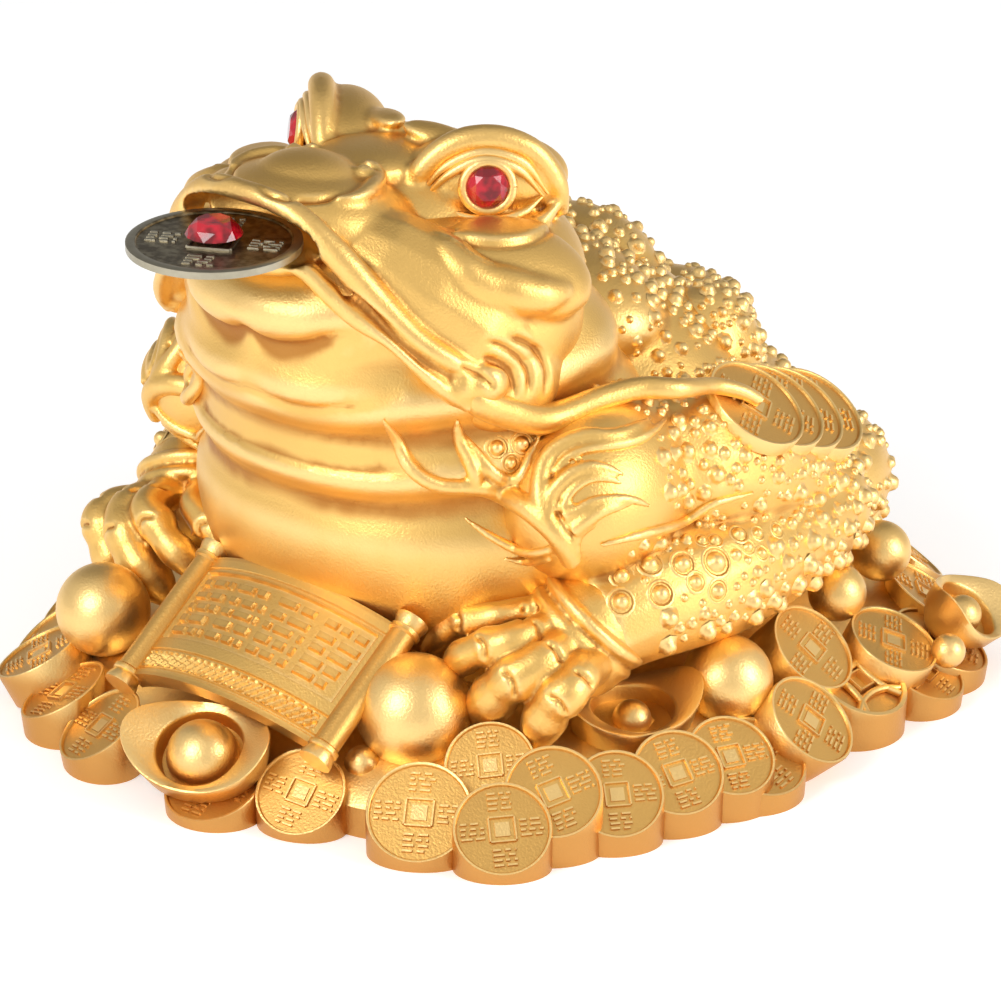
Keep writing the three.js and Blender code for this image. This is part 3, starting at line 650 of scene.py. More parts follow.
# %% [markdown]
# ## Creases
#
# Folds, lip lines and whisker grooves are too fine for lumps. Each is a line on the skin with a half width
# and a height, and it moves the skin along its own normals: a groove sinks it, and a fold raises it above
# the line and sinks it along the line. They fade out toward their ends.

# %% Carving tool
def vertex_arrays(mesh):
    places = np.empty(3 * len(mesh.vertices))
    normals = np.empty(3 * len(mesh.vertices))
    mesh.vertices.foreach_get("co", places)
    mesh.vertex_normals.foreach_get("vector", normals)
    return places.reshape(-1, 3), normals.reshape(-1, 3)


def groove(across):
    return -np.exp(-(across**2))


def fold(across):
    roll = np.exp(-((across / 2.5) ** 2)) / (1 + np.exp(-np.clip(across / 0.22, -30, 30)))
    return roll - 0.4 * np.exp(-(((across + 0.35) / 0.5) ** 2))


def on_both_sides(line):
    return [line * (side, 1, 1) for side in SIDES]


def round_the_front(line):
    """One line from the mirror of a traced half to the half itself."""
    half = line[line[:, 0] > 0]
    return [np.concatenate([(half * (-1, 1, 1))[::-1], half])]


CARVE_KNOTS, CARVE_STEPS = 24, 160
CARVE_REACH = 6
CARVE_FADE = 6


def carve(body, drawings, rounds=3, repeated=on_both_sides):
    """Moves the skin along lines of pixels; each has its profile, half width and height."""
    tree = skin_tree(body)
    places, normals = vertex_arrays(body.data)
    shift = np.zeros(len(places))
    for profile, width, height, pixels in drawings:
        for line in repeated(traced(tree, pixels, rounds=rounds)):
            line = smooth_line(line[:: max(1, len(line) // CARVE_KNOTS)], CARVE_STEPS)
            reach = CARVE_REACH * width
            beside = (places > line.min(0) - reach) & (places < line.max(0) + reach)
            near = np.where(beside.all(1))[0]
            gaps = np.linalg.norm(places[near, None] - line[None], axis=2)
            closest = gaps.argmin(1)
            over = np.cross(np.gradient(line, axis=0)[closest], normals[near])
            over *= np.where(over[:, 2:] < 0, -1, 1)
            over /= np.maximum(np.linalg.norm(over, axis=1, keepdims=True), 1e-9)
            sign = np.sign(((places[near] - line[closest]) * over).sum(1))
            run = closest / (len(line) - 1)
            fade = np.clip(np.minimum(run, 1 - run) * CARVE_FADE, 0, 1)
            shift[near] += height * fade * profile(sign * gaps.min(1) / width)
    places += normals * shift[:, None]
    body.data.vertices.foreach_set("co", places.ravel())
    body.data.update()
    print(body.name, "carved along", len(drawings), "drawings; deepest, mm:", round(float(-shift.min()), 2))


# %% Lines of the head
HEAD_LINES = (
    (fold, 1.3, 0.8, ((436, 226), (455, 237), (480, 243), (505, 244), (532, 239), (552, 226))),
    (groove, 0.6, 0.8, ((481, 357), (503, 365), (514, 380), (514, 398))),
    (groove, 0.6, 0.8, ((484, 341), (512, 351), (529, 370), (529, 398))),
    (groove, 0.6, 0.8, ((507, 336), (533, 346), (547, 368), (546, 396))),
    (groove, 0.6, 0.7, ((460, 366), (482, 376), (496, 390))),
    (groove, 0.8, 1.1, ((306, 250), (332, 275), (364, 307), (390, 333), (416, 356), (444, 378))),
    (groove, 0.6, 0.7, ((258, 184), (268, 193), (290, 199), (320, 200), (342, 193))),
)
carve(toad_head, HEAD_LINES)

# %% Lines of the hands
KNUCKLE_GROOVES = (
    ((455, 611), (460, 622), (457, 632)), ((521, 603), (526, 611), (522, 622)),
    ((475, 634), (484, 645), (484, 662)), ((532, 619), (541, 630), (539, 641)),
)
CLAW_GROOVES = (
    ((500, 668), (513, 682), (515, 700)), ((547, 641), (558, 652), (562, 664)),
    ((545, 694), (560, 703), (566, 716)), ((573, 669), (585, 676), (594, 688)),
)
knuckles = [(groove, 0.45, 0.6, pixels) for pixels in KNUCKLE_GROOVES]
carve(toad_hands, knuckles + [(groove, 0.45, 0.7, pixels) for pixels in CLAW_GROOVES])

# %% Rolls of the throat
THROAT_LINES = (
    (groove, 2.4, 1.5, ((206, 302), (235, 330), (272, 350), (310, 350), (344, 338), (380, 345))),
    (groove, 2.6, 1.7, ((208, 360), (252, 396), (300, 414), (360, 410), (416, 396))),
    (groove, 2.6, 1.7, ((208, 400), (240, 438), (280, 458), (340, 472), (400, 474), (450, 480))),
)
carve(toad_throat, THROAT_LINES, 6, round_the_front)

# %% [markdown]
# ## Turned bodies by hand
#
# Beads, coins, ingots and rods are turned shapes. As by hand, a circle is added, and its edge is pulled out
# ring by ring with extrude and resize. The rings are pairs of radius and height from the underside up.

# %% Turning
def faces_outward():
    """Ends an edit with every face turned outward."""
    bpy.ops.mesh.select_all(action="SELECT")
    bpy.ops.mesh.normals_make_consistent(inside=False)
    bpy.ops.object.mode_set(mode="OBJECT")


def spun(rows, sides, foot=True):
    """A turned body about Z, closed or without a foot."""
    bpy.ops.object.select_all(action="DESELECT")
    radius, low = rows[0]
    bpy.ops.mesh.primitive_circle_add(
        vertices=sides, radius=radius, location=(0, 0, low), fill_type="NGON" if foot else "NOTHING"
    )
    bpy.ops.object.transform_apply()
    bpy.ops.object.mode_set(mode="EDIT")
    bpy.ops.mesh.select_all(action="SELECT")
    for (was, low), (radius, high) in zip(rows, rows[1:]):
        bpy.ops.mesh.extrude_region_move(TRANSFORM_OT_translate={"value": (0, 0, high - low)})
        bpy.ops.transform.resize(value=(radius / was, radius / was, 1))
    if not foot:
        bpy.ops.mesh.edge_face_add()
    faces_outward()
    return bpy.context.object


# %% [markdown]
# ## Warts
#
# Hundreds of beads cover the back and the arms, smaller and closer toward the top, with larger ringed ones
# on the forearm. One bead of each kind is modelled and copied. They are thrown like darts on the skin and
# kept where they are clear of each other, of the flames and of the smooth hands and head.

# %% Beads
def copies(template, matrices, name):
    """One mesh with the template copied at each matrix."""
    places, _ = vertex_arrays(template.data)
    faces = [list(face.vertices) for face in template.data.polygons]
    every = np.concatenate([places @ m[:3, :3].T + m[:3, 3] for m in map(np.array, matrices)])
    starts = range(0, len(every), len(places))
    bpy.data.objects.remove(template)
    faces = [[start + corner for corner in face] for start in starts for face in faces]
    return from_points(name, every, faces)


def bead_matrix(place, normal, radius, tall=1.0):
    turn = Vector(normal).to_track_quat("Z", "Y").to_matrix().to_4x4()
    return Matrix.Translation(place) @ turn @ Matrix.Diagonal((radius, radius, radius * tall, 1))


BEAD_ROWS = ((1.45, -0.15), (1.12, 0.06), (0.95, 0.36), (0.78, 0.68), (0.42, 0.92))
RINGED_ROWS = (
    (1.9, -0.1), (1.7, 0.1), (1.48, 0.06), (1.25, -0.08), (1.02, 0.12), (0.88, 0.46), (0.62, 0.76),
    (0.3, 0.92),
)
RINGED = (
    (650, 564, 9.8), (683, 564, 9.8), (716, 562, 12), (622, 576, 9), (621, 602, 10), (661, 594, 10),
    (696, 582, 8), (718, 591, 9), (748, 547, 6.5), (758, 533, 6), (777, 530, 6.5), (739, 534, 7.5),
    (715, 540, 6.5), (702, 540, 6), (762, 553, 6), (497, 448, 9), (522, 444, 9), (511, 463, 7),
)
RINGED_SIZE, RINGED_ROOM = 0.8, 1.3
PIXELS_PER_MM = FOCAL_PIXELS / CAMERA_DISTANCE

back_tree, arms_tree, flame_tree, head_tree, throat_tree, hands_tree = [
    skin_tree(body) for body in (toad_back, toad_arms, flames, toad_head, toad_throat, toad_hands)
]
whole_tree = skin_tree(toad_head, toad_throat, toad_back, toad_arms)


placed = [(*(STRUNG + i * STRUNG_STEP), STRUNG_RADIUS - 0.4) for i in range(len(STRUNG_WALLS))]
ringed = []
for x, y, across in RINGED:
    found = seen(whole_tree, (x, y))
    radius = across / PIXELS_PER_MM
    for side in SIDES:
        place, facing = vectors(found, side)
        ringed.append(bead_matrix(place, facing, radius * RINGED_SIZE))
        placed.append((*place, radius * RINGED_ROOM))
print("ringed warts:", len(ringed))

# %% Darts
DARTS = 15000
WART_SEED = 11
WART_MOST = (850, 1250)
WART_SIZES = (0.5, 0.75, 1, 1.15)
WART_TALL = 1.05
OVERHANG = -0.6
FLAME_ROOM = 0.35
BEAD_GAP, BEAD_GAP_GAIN = 0.1, 0.12
BURIED_WITHIN = 30
random_warts = np.random.default_rng(WART_SEED)


def darts(body, count):
    """Places and normals thrown evenly over a body's faces."""
    mesh = body.data
    mesh.calc_loop_triangles()
    corners = np.array([triangle.vertices[:] for triangle in mesh.loop_triangles])
    places, normals = vertex_arrays(mesh)
    a, b, c = (places[corners[:, i]] for i in range(3))
    areas = np.linalg.norm(np.cross(b - a, c - a), axis=1)
    picks = random_warts.choice(len(corners), count, p=areas / areas.sum())
    s, t = random_warts.random((2, count))
    s, t = np.where(s + t > 1, 1 - s, s), np.where(s + t > 1, 1 - t, t)
    spots = a[picks] + s[:, None] * (b[picks] - a[picks]) + t[:, None] * (c[picks] - a[picks])
    return spots, normals[corners[picks, 0]]


def buried(place, trees, depth=0.2):
    found = [tree.find_nearest(place) for tree in trees]
    return any(
        (place - nearest).dot(normal) < depth and far < BURIED_WITHIN for nearest, normal, _, far in found
    )


def wart_radius(place):
    """How large a wart is here, or none where the skin is smooth."""
    x, y, z = place
    smooth_front = y < -25 + 0.2 * max(0, 40 - z)
    smooth_shoulder = z > 44 and y < (-17 if x > 0 else -32)
    if z < 14 or smooth_front or smooth_shoulder:
        return 0
    return 1.25 - 0.15 * eased(z, 30, 62)


beads = []
for body, others, most in (
    (toad_back, [arms_tree, head_tree, throat_tree], WART_MOST[0]),
    (toad_arms, [back_tree, head_tree, throat_tree, hands_tree], sum(WART_MOST)),
):
    for spot, normal in zip(*darts(body, DARTS)):
        place = Vector(spot)
        radius = wart_radius(place) * random_warts.choice(WART_SIZES)
        if radius == 0 or normal[2] < OVERHANG or len(beads) >= most:
            continue
        if flame_tree.find_nearest(place)[3] < radius + FLAME_ROOM or buried(place, others):
            continue
        known = np.array(placed)
        gaps = np.linalg.norm(known[:, :3] - spot, axis=1) - known[:, 3] - radius
        if gaps.min() < BEAD_GAP + BEAD_GAP_GAIN * radius:
            continue
        placed.append((*place, radius))
        beads.append(bead_matrix(place, normal, radius, WART_TALL))
small_beads = copies(spun(BEAD_ROWS, 8, foot=False), beads, "beads")
ringed_beads = copies(spun(RINGED_ROWS, 14, foot=False), ringed, "ringed")
warts = joined([small_beads, ringed_beads], "warts")
print("beads:", len(beads), "triangles of all warts:", triangles(warts))

# %% [markdown]
# ## Coins
#
# Every coin of the heap has the same die: a raised rim, a sunken field, a square frame round a filled
# square and a group of short strokes on each side. Three dies with different strokes are modelled, and
# each coin is a copy of one. The coins of the rim stand on walls that drop straight to the table.

# %% Strokes
def bar(x, y, z, width, depth, height):
    """A small raised stroke with its middle at x, y and its foot at z, a little narrower on top."""
    bpy.ops.mesh.primitive_cube_add(size=1, location=(x, y, z + height / 2), scale=(width, depth, height))
    bpy.ops.object.transform_apply()
    body = bpy.context.object
    for vertex in body.data.vertices:
        if vertex.co.z > z + height / 2:
            vertex.co.x += 0.2 * height * (1 if vertex.co.x < x else -1)
            vertex.co.y += 0.2 * height * (1 if vertex.co.y < y else -1)
    return body


def stroke_rows(rng, width, depth, rows):
    """Rows of short separate strokes: places across, place of the row and length of each."""
    strokes = []
    for row in range(rows):
        y = depth * ((row + 0.5) / rows - 0.5)
        x = -width / 2
        while x < width / 2 - 0.3 * width / rows:
            length = min(rng.uniform(0.2, 0.5) * width, width / 2 - x)
            strokes.append((x + length / 2, y, length))
            x += length + rng.uniform(0.1, 0.16) * width
    return strokes


def four_ways(reach):
    return (0, reach), (0, -reach), (reach, 0), (-reach, 0)


def square_frame(reach, length, thick, foot, height):
    """Four bars round a square."""
    sizes = ((length, thick), (length, thick), (thick, length), (thick, length))
    return [bar(x, y, foot, *size, height) for (x, y), size in zip(four_ways(reach), sizes)]


def stroke_groups(rng, reach, width, depth, foot, thick, height):
    """Four groups of four rows of strokes round the middle."""
    return [
        bar(x + across, y + row, foot, length, thick, height)
        for x, y in four_ways(reach) for across, row, length in stroke_rows(rng, width, depth, 4)
    ]


# %% Coin dies
COIN_RADIUS = 8.8
COIN_SIDES = 44
COIN_FIELD = -0.45
WALL_MARK = -1
COIN_ROWS = (
    (1, WALL_MARK), (1, -0.2), (0.985, 0), (0.945, 0), (0.93, -0.1), (0.915, COIN_FIELD), (0.01, COIN_FIELD),
)
OPEN_COIN_ROWS = ((1, WALL_MARK), (1, -0.22), (0.98, 0), (0.9, 0), (0.88, -0.2), (0.86, -1.3), (0.01, -1.3))
coin_strokes = random.Random(5)


def coin_blank(rows):
    return spun([(share * COIN_RADIUS, height) for share, height in rows], COIN_SIDES)


def coin_die(name):
    frame = 0.26 * COIN_RADIUS
    foot = COIN_FIELD - 0.1
    return joined([
        coin_blank(COIN_ROWS),
        *square_frame(frame, length=2 * frame, thick=0.5, foot=foot, height=0.55),
        bar(0, 0, foot, width=1.2 * frame, depth=1.2 * frame, height=0.3),
        *stroke_groups(coin_strokes, 0.6 * COIN_RADIUS, 4.3, 3.8, foot=foot, thick=0.55, height=0.45),
    ], name)


def on_circle(radius, angle, z=0):
    return Vector((radius * math.cos(angle), radius * math.sin(angle), z))


def petal(angle):
    """A quarter of the ring of petals, as an arc about a point outside the coin."""
    middle = on_circle(1.5 * COIN_RADIUS, angle, -0.75)
    spread = [angle + math.pi + share * 0.62 for share in (-1, -0.5, 0, 0.5, 1)]
    line = [middle + on_circle(1.16 * COIN_RADIUS, a) for a in spread]
    return strand(line, (0.6, 0.65, 0.65, 0.65, 0.6))


def open_coin_die(name):
    """The one coin with four petals round an open square."""
    frame = 0.2 * COIN_RADIUS
    return joined([
        coin_blank(OPEN_COIN_ROWS),
        *square_frame(frame, length=2.4 * frame, thick=0.8, foot=-1.4, height=1.35),
        *[petal(quarter * math.pi / 2) for quarter in range(4)],
    ], name)


def stood(place, bearing, lean, spin):
    """The turn about a thing's own axis, its lean, its bearing and its place."""
    return Matrix.Translation(place) @ (rotation(bearing, "Z") @ rotation(lean, "X")) @ rotation(spin, "Z")


def laid(die, place, bearing, lean, spin, share, wall):
    """A copy of a die; its wall runs along its own axis, or drops to the table where wall is none."""
    body = added("coin", die.data.copy())
    turn = stood(place, bearing, lean, spin)
    for vertex in body.data.vertices:
        x, y, z = vertex.co
        low = z <= WALL_MARK + 0.01 and abs(math.hypot(x, y) - COIN_RADIUS) < 0.01
        vertex.co = turn @ Vector((x * share, y * share, -wall if low and wall else z))
        if low and not wall:
            vertex.co.z = 0
    return body


dies = [coin_die("coin_die_%d" % i) for i in range(3)]
open_die = open_coin_die("open_coin_die")
print("coin die triangles:", triangles(dies[0]), "open coin die:", triangles(open_die))

# %% Coins that lie as if poured
DROP = None
POURED = (
    (-44.5, -61, 8.5, -55, 28, 10, 0.86, 6), (-33.8, -66.5, 7, -50, 28, 40, 0.86, DROP),
    (-20.7, -71.6, 7, -30, 34, 15, 0.86, DROP), (4, -72, 5, 4, 24, 0, 0.9, DROP),
    (18, -67.5, 6.4, 20, 42, -10, 0.82, DROP), (37.8, -62.6, 7.6, 32, 43, 0, 0.93, DROP),
    (50.2, -57.7, 7, 42, 42, 5, 0.86, DROP), (52.6, -48.6, 10.5, 46, 42, 20, 0.86, DROP),
    (57.9, -39.8, 8.5, 50, 42, 0, 0.82, DROP), (61, -29, 9, 56, 40, 10, 0.82, DROP),
    (63.6, -19.2, 9, 64, 36, 0, 0.8, DROP), (64.5, -13.5, 7, 80, 28, 15, 0.9, DROP),
    (66, -1.9, 9.4, 98, 42, 20, 0.9, 7), (57.2, 9.6, 15, 98, 42, 10, 0.88, 7.9),
    (62.6, 14.9, 9.2, 92, 26, 0, 0.92, DROP), (61.4, 25.3, 12, 100, 26, 30, 0.86, 6),
    (64.5, 29.5, 6, 104, 26, 0, 0.8, DROP), (60.5, 39.5, 6.5, 122, 26, 0, 0.96, DROP),
    (42, -51, 12.5, 34, 44, 10, 0.8, 5),
)
OPEN_COIN = 14
coins = []
for i, (x, y, z, *settings) in enumerate(POURED):
    coins.append(laid(open_die if i == OPEN_COIN else dies[i % 3], (x, y, z), *settings))

# %% The even row round the back
BASE_HALF = (68.5, 75)
BASE_SQUARENESS = 2.9
ROW_COINS = 14
ROW_BEARINGS = (135, 318)


def rim_place(bearing, inset):
    sine, cosine = math.sin(math.radians(bearing)), -math.cos(math.radians(bearing))
    a, b = BASE_HALF[0] - inset, BASE_HALF[1] - inset
    reach = square_reach(sine / a, cosine / b, BASE_SQUARENESS)
    return sine * reach, cosine * reach


for i in range(ROW_COINS):
    bearing = ROW_BEARINGS[0] + (ROW_BEARINGS[1] - ROW_BEARINGS[0]) / (ROW_COINS - 1) * i
    x, y = rim_place(bearing, (0.44 + 0.05 * math.sin(2.4 * i)) * 2 * COIN_RADIUS)
    place = (x, y, 8 + math.sin(1.9 * i))
    coins.append(laid(dies[i % 3], place, bearing, 34 + 6 * math.sin(1.7 * i), 25 * i, 0.99, DROP))
print("coins on the heap:", len(coins))

# %% Mound
MOUND_ROWS = ((1, 0), (1, 5), (0.97, 7.4), (0.85, 11.2), (0.5, 14.6), (0.01, 16))
mound = spun(MOUND_ROWS, 96)
for vertex in mound.data.vertices:
    bearing = math.degrees(math.atan2(vertex.co.x, -vertex.co.y))
    share = math.hypot(vertex.co.x, vertex.co.y)
    x, y = rim_place(bearing, COIN_RADIUS)
    vertex.co = (x * share, y * share, vertex.co.z)

# %% [markdown]
# ## Pearls and ingots
#
# The pearls are plain balls. An ingot is a small boat: its rim is wide at its two raised ends, and a ball
# sits in the hollow between them.

# %% Pearls
PEARLS = (
    (25.7, -49.8, 16, 9), (-36, -54.5, 16, 7.56), (53, -7, 14, 7.2), (51.5, 23, 18, 4.7),
    (45.5, 42.5, 16.7, 5), (22.3, -58, 9, 2.8), (67.5, 31.5, 9.5, 2.8), (-52, 0, 14, 7), (-46, 42, 15, 7),
    (8, 68, 11, 5),
)
pearls = [lump((x, y, z), (r, r, r), segments=56 if r > 4 else 28) for x, y, z, r in PEARLS]

# %% Ingots
INGOT_ROWS = (
    (0.5, 0), (0.6, 0.3), (0.72, 1.6), (0.88, 4), (0.965, 6.2), (1, 7.3), (0.99, 7.6), (0.96, 7.7),
    (0.6, 7.3), (0.575, 7.15), (0.56, 6.7), (0.53, 4.6), (0.01, 4),
)
BOAT_HALF = (12.25, 8.5)
END_RISE = 3.6
END_WIDTH = 0.42
INNER_EDGE = 0.95
INNER_FLOOR = 3.9
RIM_HEIGHT = 7.5
BALL_HEIGHT = 5.2


def ingot(place, bearing, lean, spin, share, ball):
    hull = spun(INGOT_ROWS, 72)
    for vertex in hull.data.vertices:
        x, y, z = vertex.co
        inner = eased(INNER_EDGE - math.hypot(x, y), 0, 0.35) if z > INNER_FLOOR else 0
        rise = END_RISE * abs(x) ** 3 * eased(z, 0, RIM_HEIGHT)
        vertex.co = (x * BOAT_HALF[0], y * BOAT_HALF[1] * (1 + END_WIDTH * inner), z + rise)
    body = joined([hull, lump((0, 0, BALL_HEIGHT), (ball, ball, ball), segments=40)], "ingot")
    body.data.transform(stood(place, bearing, lean, spin) @ Matrix.Scale(share, 4))
    return body


INGOTS = (
    ((0.1, -68.4, 3.7), 18, 30, 0, 1, 5.7), ((47, -23.5, 7), 60, 8, 10, 0.95, 3.2),
    ((59, 42.3, 6.5), 120, 40, -25, 0.8, 4), ((-58, 30, 7.5), 240, 14, 30, 0.8, 4),
)
ingots = [ingot(*settings) for settings in INGOTS]
print("pearls:", len(pearls), "ingots:", len(ingots))

# %% Coins on the cord
STRUNG_LEAN = (102, 35)
STRUNG_SHARE = STRUNG_RADIUS / COIN_RADIUS
strung = []
for i, wall in enumerate(STRUNG_WALLS):
    strung.append(laid(dies[i % 3], STRUNG + i * STRUNG_STEP, *STRUNG_LEAN, 20 + 8 * i, STRUNG_SHARE, wall))
for die in (*dies, open_die):
    bpy.data.objects.remove(die)
print("coins on the cord:", len(strung))

# %% [markdown]
# ## Scroll
#
# The scroll is an arched sheet rolled on a rod at each side. Its face is a fine grid whose points are
# raised or sunk: a border, a sunk panel with four groups of plain strokes, a band, and a strip of slanted
# marks along the front. The grid is given a thickness, bent over its arch and laid on the slope.

# %% Scroll
SCROLL_WIDTH = 41
SCROLL_LENGTH = 23.5
SCROLL_THICKNESS = 3.2
SCROLL_ARCH = 6
SCROLL_PLACE = Vector((0, -58.8, 24.8))
SCROLL_SLOPE = 34
SCROLL_GRID = (160, 96)
PANEL = ((-17.6, 17.6), (-8.7, 4.3))
PANEL_DEPTH = -0.75
STRIP = (7.2, 9.9)
STRIP_DEPTH = -0.6
MARK_DEPTH = -0.1
BORDER_LINES = (-9.4, 6.6, 10.4)
BORDER_DEPTH = -0.35
ROD_END = ((1.5, -2.2), (2.75, -2.1), (2.75, -1.5), (2.3, -0.2), (2.6, 0), (2.6, 0.7), (2.2, 1))
scroll_strokes = random.Random(21)


def stroke_boxes():
    """Four groups of plain strokes as boxes of x and y."""
    boxes = []
    for group in range(4):
        middle = -13 + 8.7 * group
        for across, row, length in stroke_rows(scroll_strokes, 7.2, 11.6, 5):
            x, y = middle + across, -2.2 + row
            boxes.append((x - length / 2, x + length / 2, y - 0.62, y + 0.62))
    return boxes


def scroll_height(x, y, boxes):
    inside = PANEL[0][0] < x < PANEL[0][1]
    if inside and PANEL[1][0] < y < PANEL[1][1]:
        marked = any(left < x < right and low < y < high for left, right, low, high in boxes)
        return MARK_DEPTH if marked else PANEL_DEPTH
    if inside and STRIP[0] < y < STRIP[1]:
        return MARK_DEPTH if (x * 0.9 + y * 0.7) % 1.3 < 0.55 else STRIP_DEPTH
    return BORDER_DEPTH if any(abs(y - line) < 0.2 for line in BORDER_LINES) else 0


def scroll():
    bpy.ops.object.select_all(action="DESELECT")
    bpy.ops.mesh.primitive_grid_add(x_subdivisions=SCROLL_GRID[0], y_subdivisions=SCROLL_GRID[1], size=1)
    bpy.ops.object.mode_set(mode="EDIT")
    bpy.ops.mesh.select_all(action="SELECT")
    bpy.ops.mesh.extrude_region_move(TRANSFORM_OT_translate={"value": (0, 0, -SCROLL_THICKNESS)})
    faces_outward()
    sheet = bpy.context.object
    half, end = SCROLL_WIDTH / 2, SCROLL_LENGTH / 2
    bend = (half * half + SCROLL_ARCH * SCROLL_ARCH) / (2 * SCROLL_ARCH)
    span = math.asin(half / bend)
    boxes = stroke_boxes()
    for vertex in sheet.data.vertices:
        x, y = vertex.co.x * SCROLL_WIDTH, vertex.co.y * SCROLL_LENGTH
        height = bend + (vertex.co.z if vertex.co.z < -1 else scroll_height(x, y, boxes))
        angle = x / half * span
        vertex.co = (height * math.sin(angle), height * math.cos(angle) - bend, y)
    rows = [(r, z - end) for r, z in ROD_END]
    rows = rows + [(r, -z) for r, z in reversed(rows)]
    rods = []
    for side in SIDES:
        rod = spun(rows, 32)
        rod.data.transform(Matrix.Translation((side * half, -SCROLL_ARCH, 0)))
        rods.append(rod)
    whole = joined([sheet, *rods], "scroll")
    whole.data.transform(Matrix.Translation(SCROLL_PLACE) @ rotation(90 + SCROLL_SLOPE, "X"))
    return whole


toad_scroll = scroll()
heap = joined([mound, *coins, *pearls, *ingots], "heap_of_treasure")
for vertex in heap.data.vertices:
    vertex.co.z = max(vertex.co.z, 0)
strung_coins = joined(strung, "strung_coins")
print("heap triangles:", triangles(heap), "scroll triangles:", triangles(toad_scroll))

# %% [markdown]
# ## The loose coin and the stones
#
# The loose coin is a real bronze coin with two worn faces. The stones are cut glass: a table, rows of
# slanted facets and a pointed back, made as the hull of three rings of points.

# %% Loose coin
LOOSE_RADIUS = 13.25
LOOSE_HALF = 0.66
LOOSE_FIELD = 0.3
LOOSE_DROP = Vector((0, 0, -0.14))
LOOSE_TURN = 28
loose_strokes = random.Random(8)


def loose_coin():
    r, h, field = LOOSE_RADIUS, LOOSE_HALF, LOOSE_FIELD
    rim = [(0.875 * r, -h + field), (0.89 * r, -h + 0.04), (0.9 * r, -h), (0.98 * r, -h), (r, -h + 0.12)]
    rows = [(0.01 * r, -h + field), *rim, *[(a, -b) for a, b in reversed(rim)], (0.01 * r, h - field)]
    parts = [spun(rows, 72)]
    foot = h - field - 0.1
    for up in SIDES:
        frame = square_frame(3.3, length=6.6, thick=0.6, foot=foot, height=field + 0.1)
        groups = stroke_groups(loose_strokes, 7.9, 4.8, 4.2, foot=foot, thick=0.6, height=field)
        face = joined([*frame, *groups], "strokes")
        if up < 0:
            face.data.transform(rotation(180, "X"))
        parts.append(face)
    whole = joined(parts, "loose_coin")
    whole.data.transform(Matrix.Translation(COIN_PLACE + LOOSE_DROP) @ rotation(LOOSE_TURN, "Z"))
    return whole


toad_coin = loose_coin()
print("loose coin triangles:", triangles(toad_coin))



# %% Stones
def cut_stone(name, diameter, crown, depth, place, outward):
    r = diameter / 2
    bpy.ops.object.select_all(action="DESELECT")
    bpy.ops.mesh.primitive_circle_add(vertices=16, radius=r)
    girdle = bpy.context.object
    points = [vertex.co.copy() for vertex in girdle.data.vertices]
    bpy.data.objects.remove(girdle)
    for i in range(8):
        for turn, share, height in ((1, 0.6, crown), (2, 0.84, 0.58 * crown), (2, 0.5, -depth)):
            points.append(on_circle(share * r, (turn + 2 * i) * math.pi / 8, height))
    body = from_points(name, points, [])
    select_only(body)
    bpy.ops.object.mode_set(mode="EDIT")
    bpy.ops.mesh.select_all(action="SELECT")
    bpy.ops.mesh.convex_hull()
    faces_outward()
    turn = Vector(outward).to_track_quat("Z", "Y").to_matrix().to_4x4()
    body.data.transform(Matrix.Translation(place) @ turn)
    return body


COIN_CUT = {"diameter": 8.8, "crown": 2.2, "depth": 0.4}
EYE_CUT = {"diameter": 6.7, "crown": 1.2, "depth": 2.4}
stones = [cut_stone("coin_gem", place=COIN_PLACE + Vector((0, 0, 1.5)), outward=(0, 0, 1), **COIN_CUT)]
for side, name in zip(SIDES, ("eye_gem_left", "eye_gem_right")):
    _, _, outward = eye_axes(side)
    stones.append(cut_stone(name, place=mirrored(EYE_STONE_PLACE, side), outward=outward, **EYE_CUT))
print("triangles of the stones:", [triangles(stone) for stone in stones])

# %% [markdown]
# ## Hollows
#
# Shade is painted into the hollows of the gold as a darker, browner tone, and the raised parts are painted
# paler as a highlight. Each point's hollow value says how far the skin around it stands above it: the skin is
# evened out in a copy, and the step to the copy along the normal is kept on the mesh as an attribute.

# %% Hollow values
HOLLOW_ROUNDS = 14
HOLLOW_REACH = 0.45


def mark_hollows(body):
    mesh = body.data
    places, normals = vertex_arrays(mesh)
    edges = np.empty(2 * len(mesh.edges), dtype=np.int64)
    mesh.edges.foreach_get("vertices", edges)
    a, b = edges.reshape(-1, 2).T
    count = len(places)
    share = np.maximum(np.bincount(a, minlength=count) + np.bincount(b, minlength=count), 1)
    even = places.copy()
    for _ in range(HOLLOW_ROUNDS):
        sums = [np.bincount(a, even[b, i], count) + np.bincount(b, even[a, i], count) for i in range(3)]
        even = 0.5 * even + 0.5 * np.stack(sums, 1) / share[:, None]
    hollow = np.clip(((even - places) * normals).sum(1) / HOLLOW_REACH, -1, 1)
    layer = mesh.attributes.new("hollow", "FLOAT", "POINT")
    layer.data.foreach_set("value", 0.5 + 0.5 * hollow)


skins = (toad_head, toad_throat, toad_back, toad_arms, toad_hands, flames, lids, warts)
treasure = (heap, strung_coins, toad_scroll)
for body in (*skins, *treasure, toad_coin):
    mark_hollows(body)
print("pieces with hollow values:", [body.name for body in (*skins, *treasure, toad_coin)])

# %% [markdown]
# ## Materials
#
# Shader sums are written as Python expressions. A small class wraps a socket, and its operators add the
# Math nodes. Each material gives what changes over its surface as such sums of noise and hollow values.

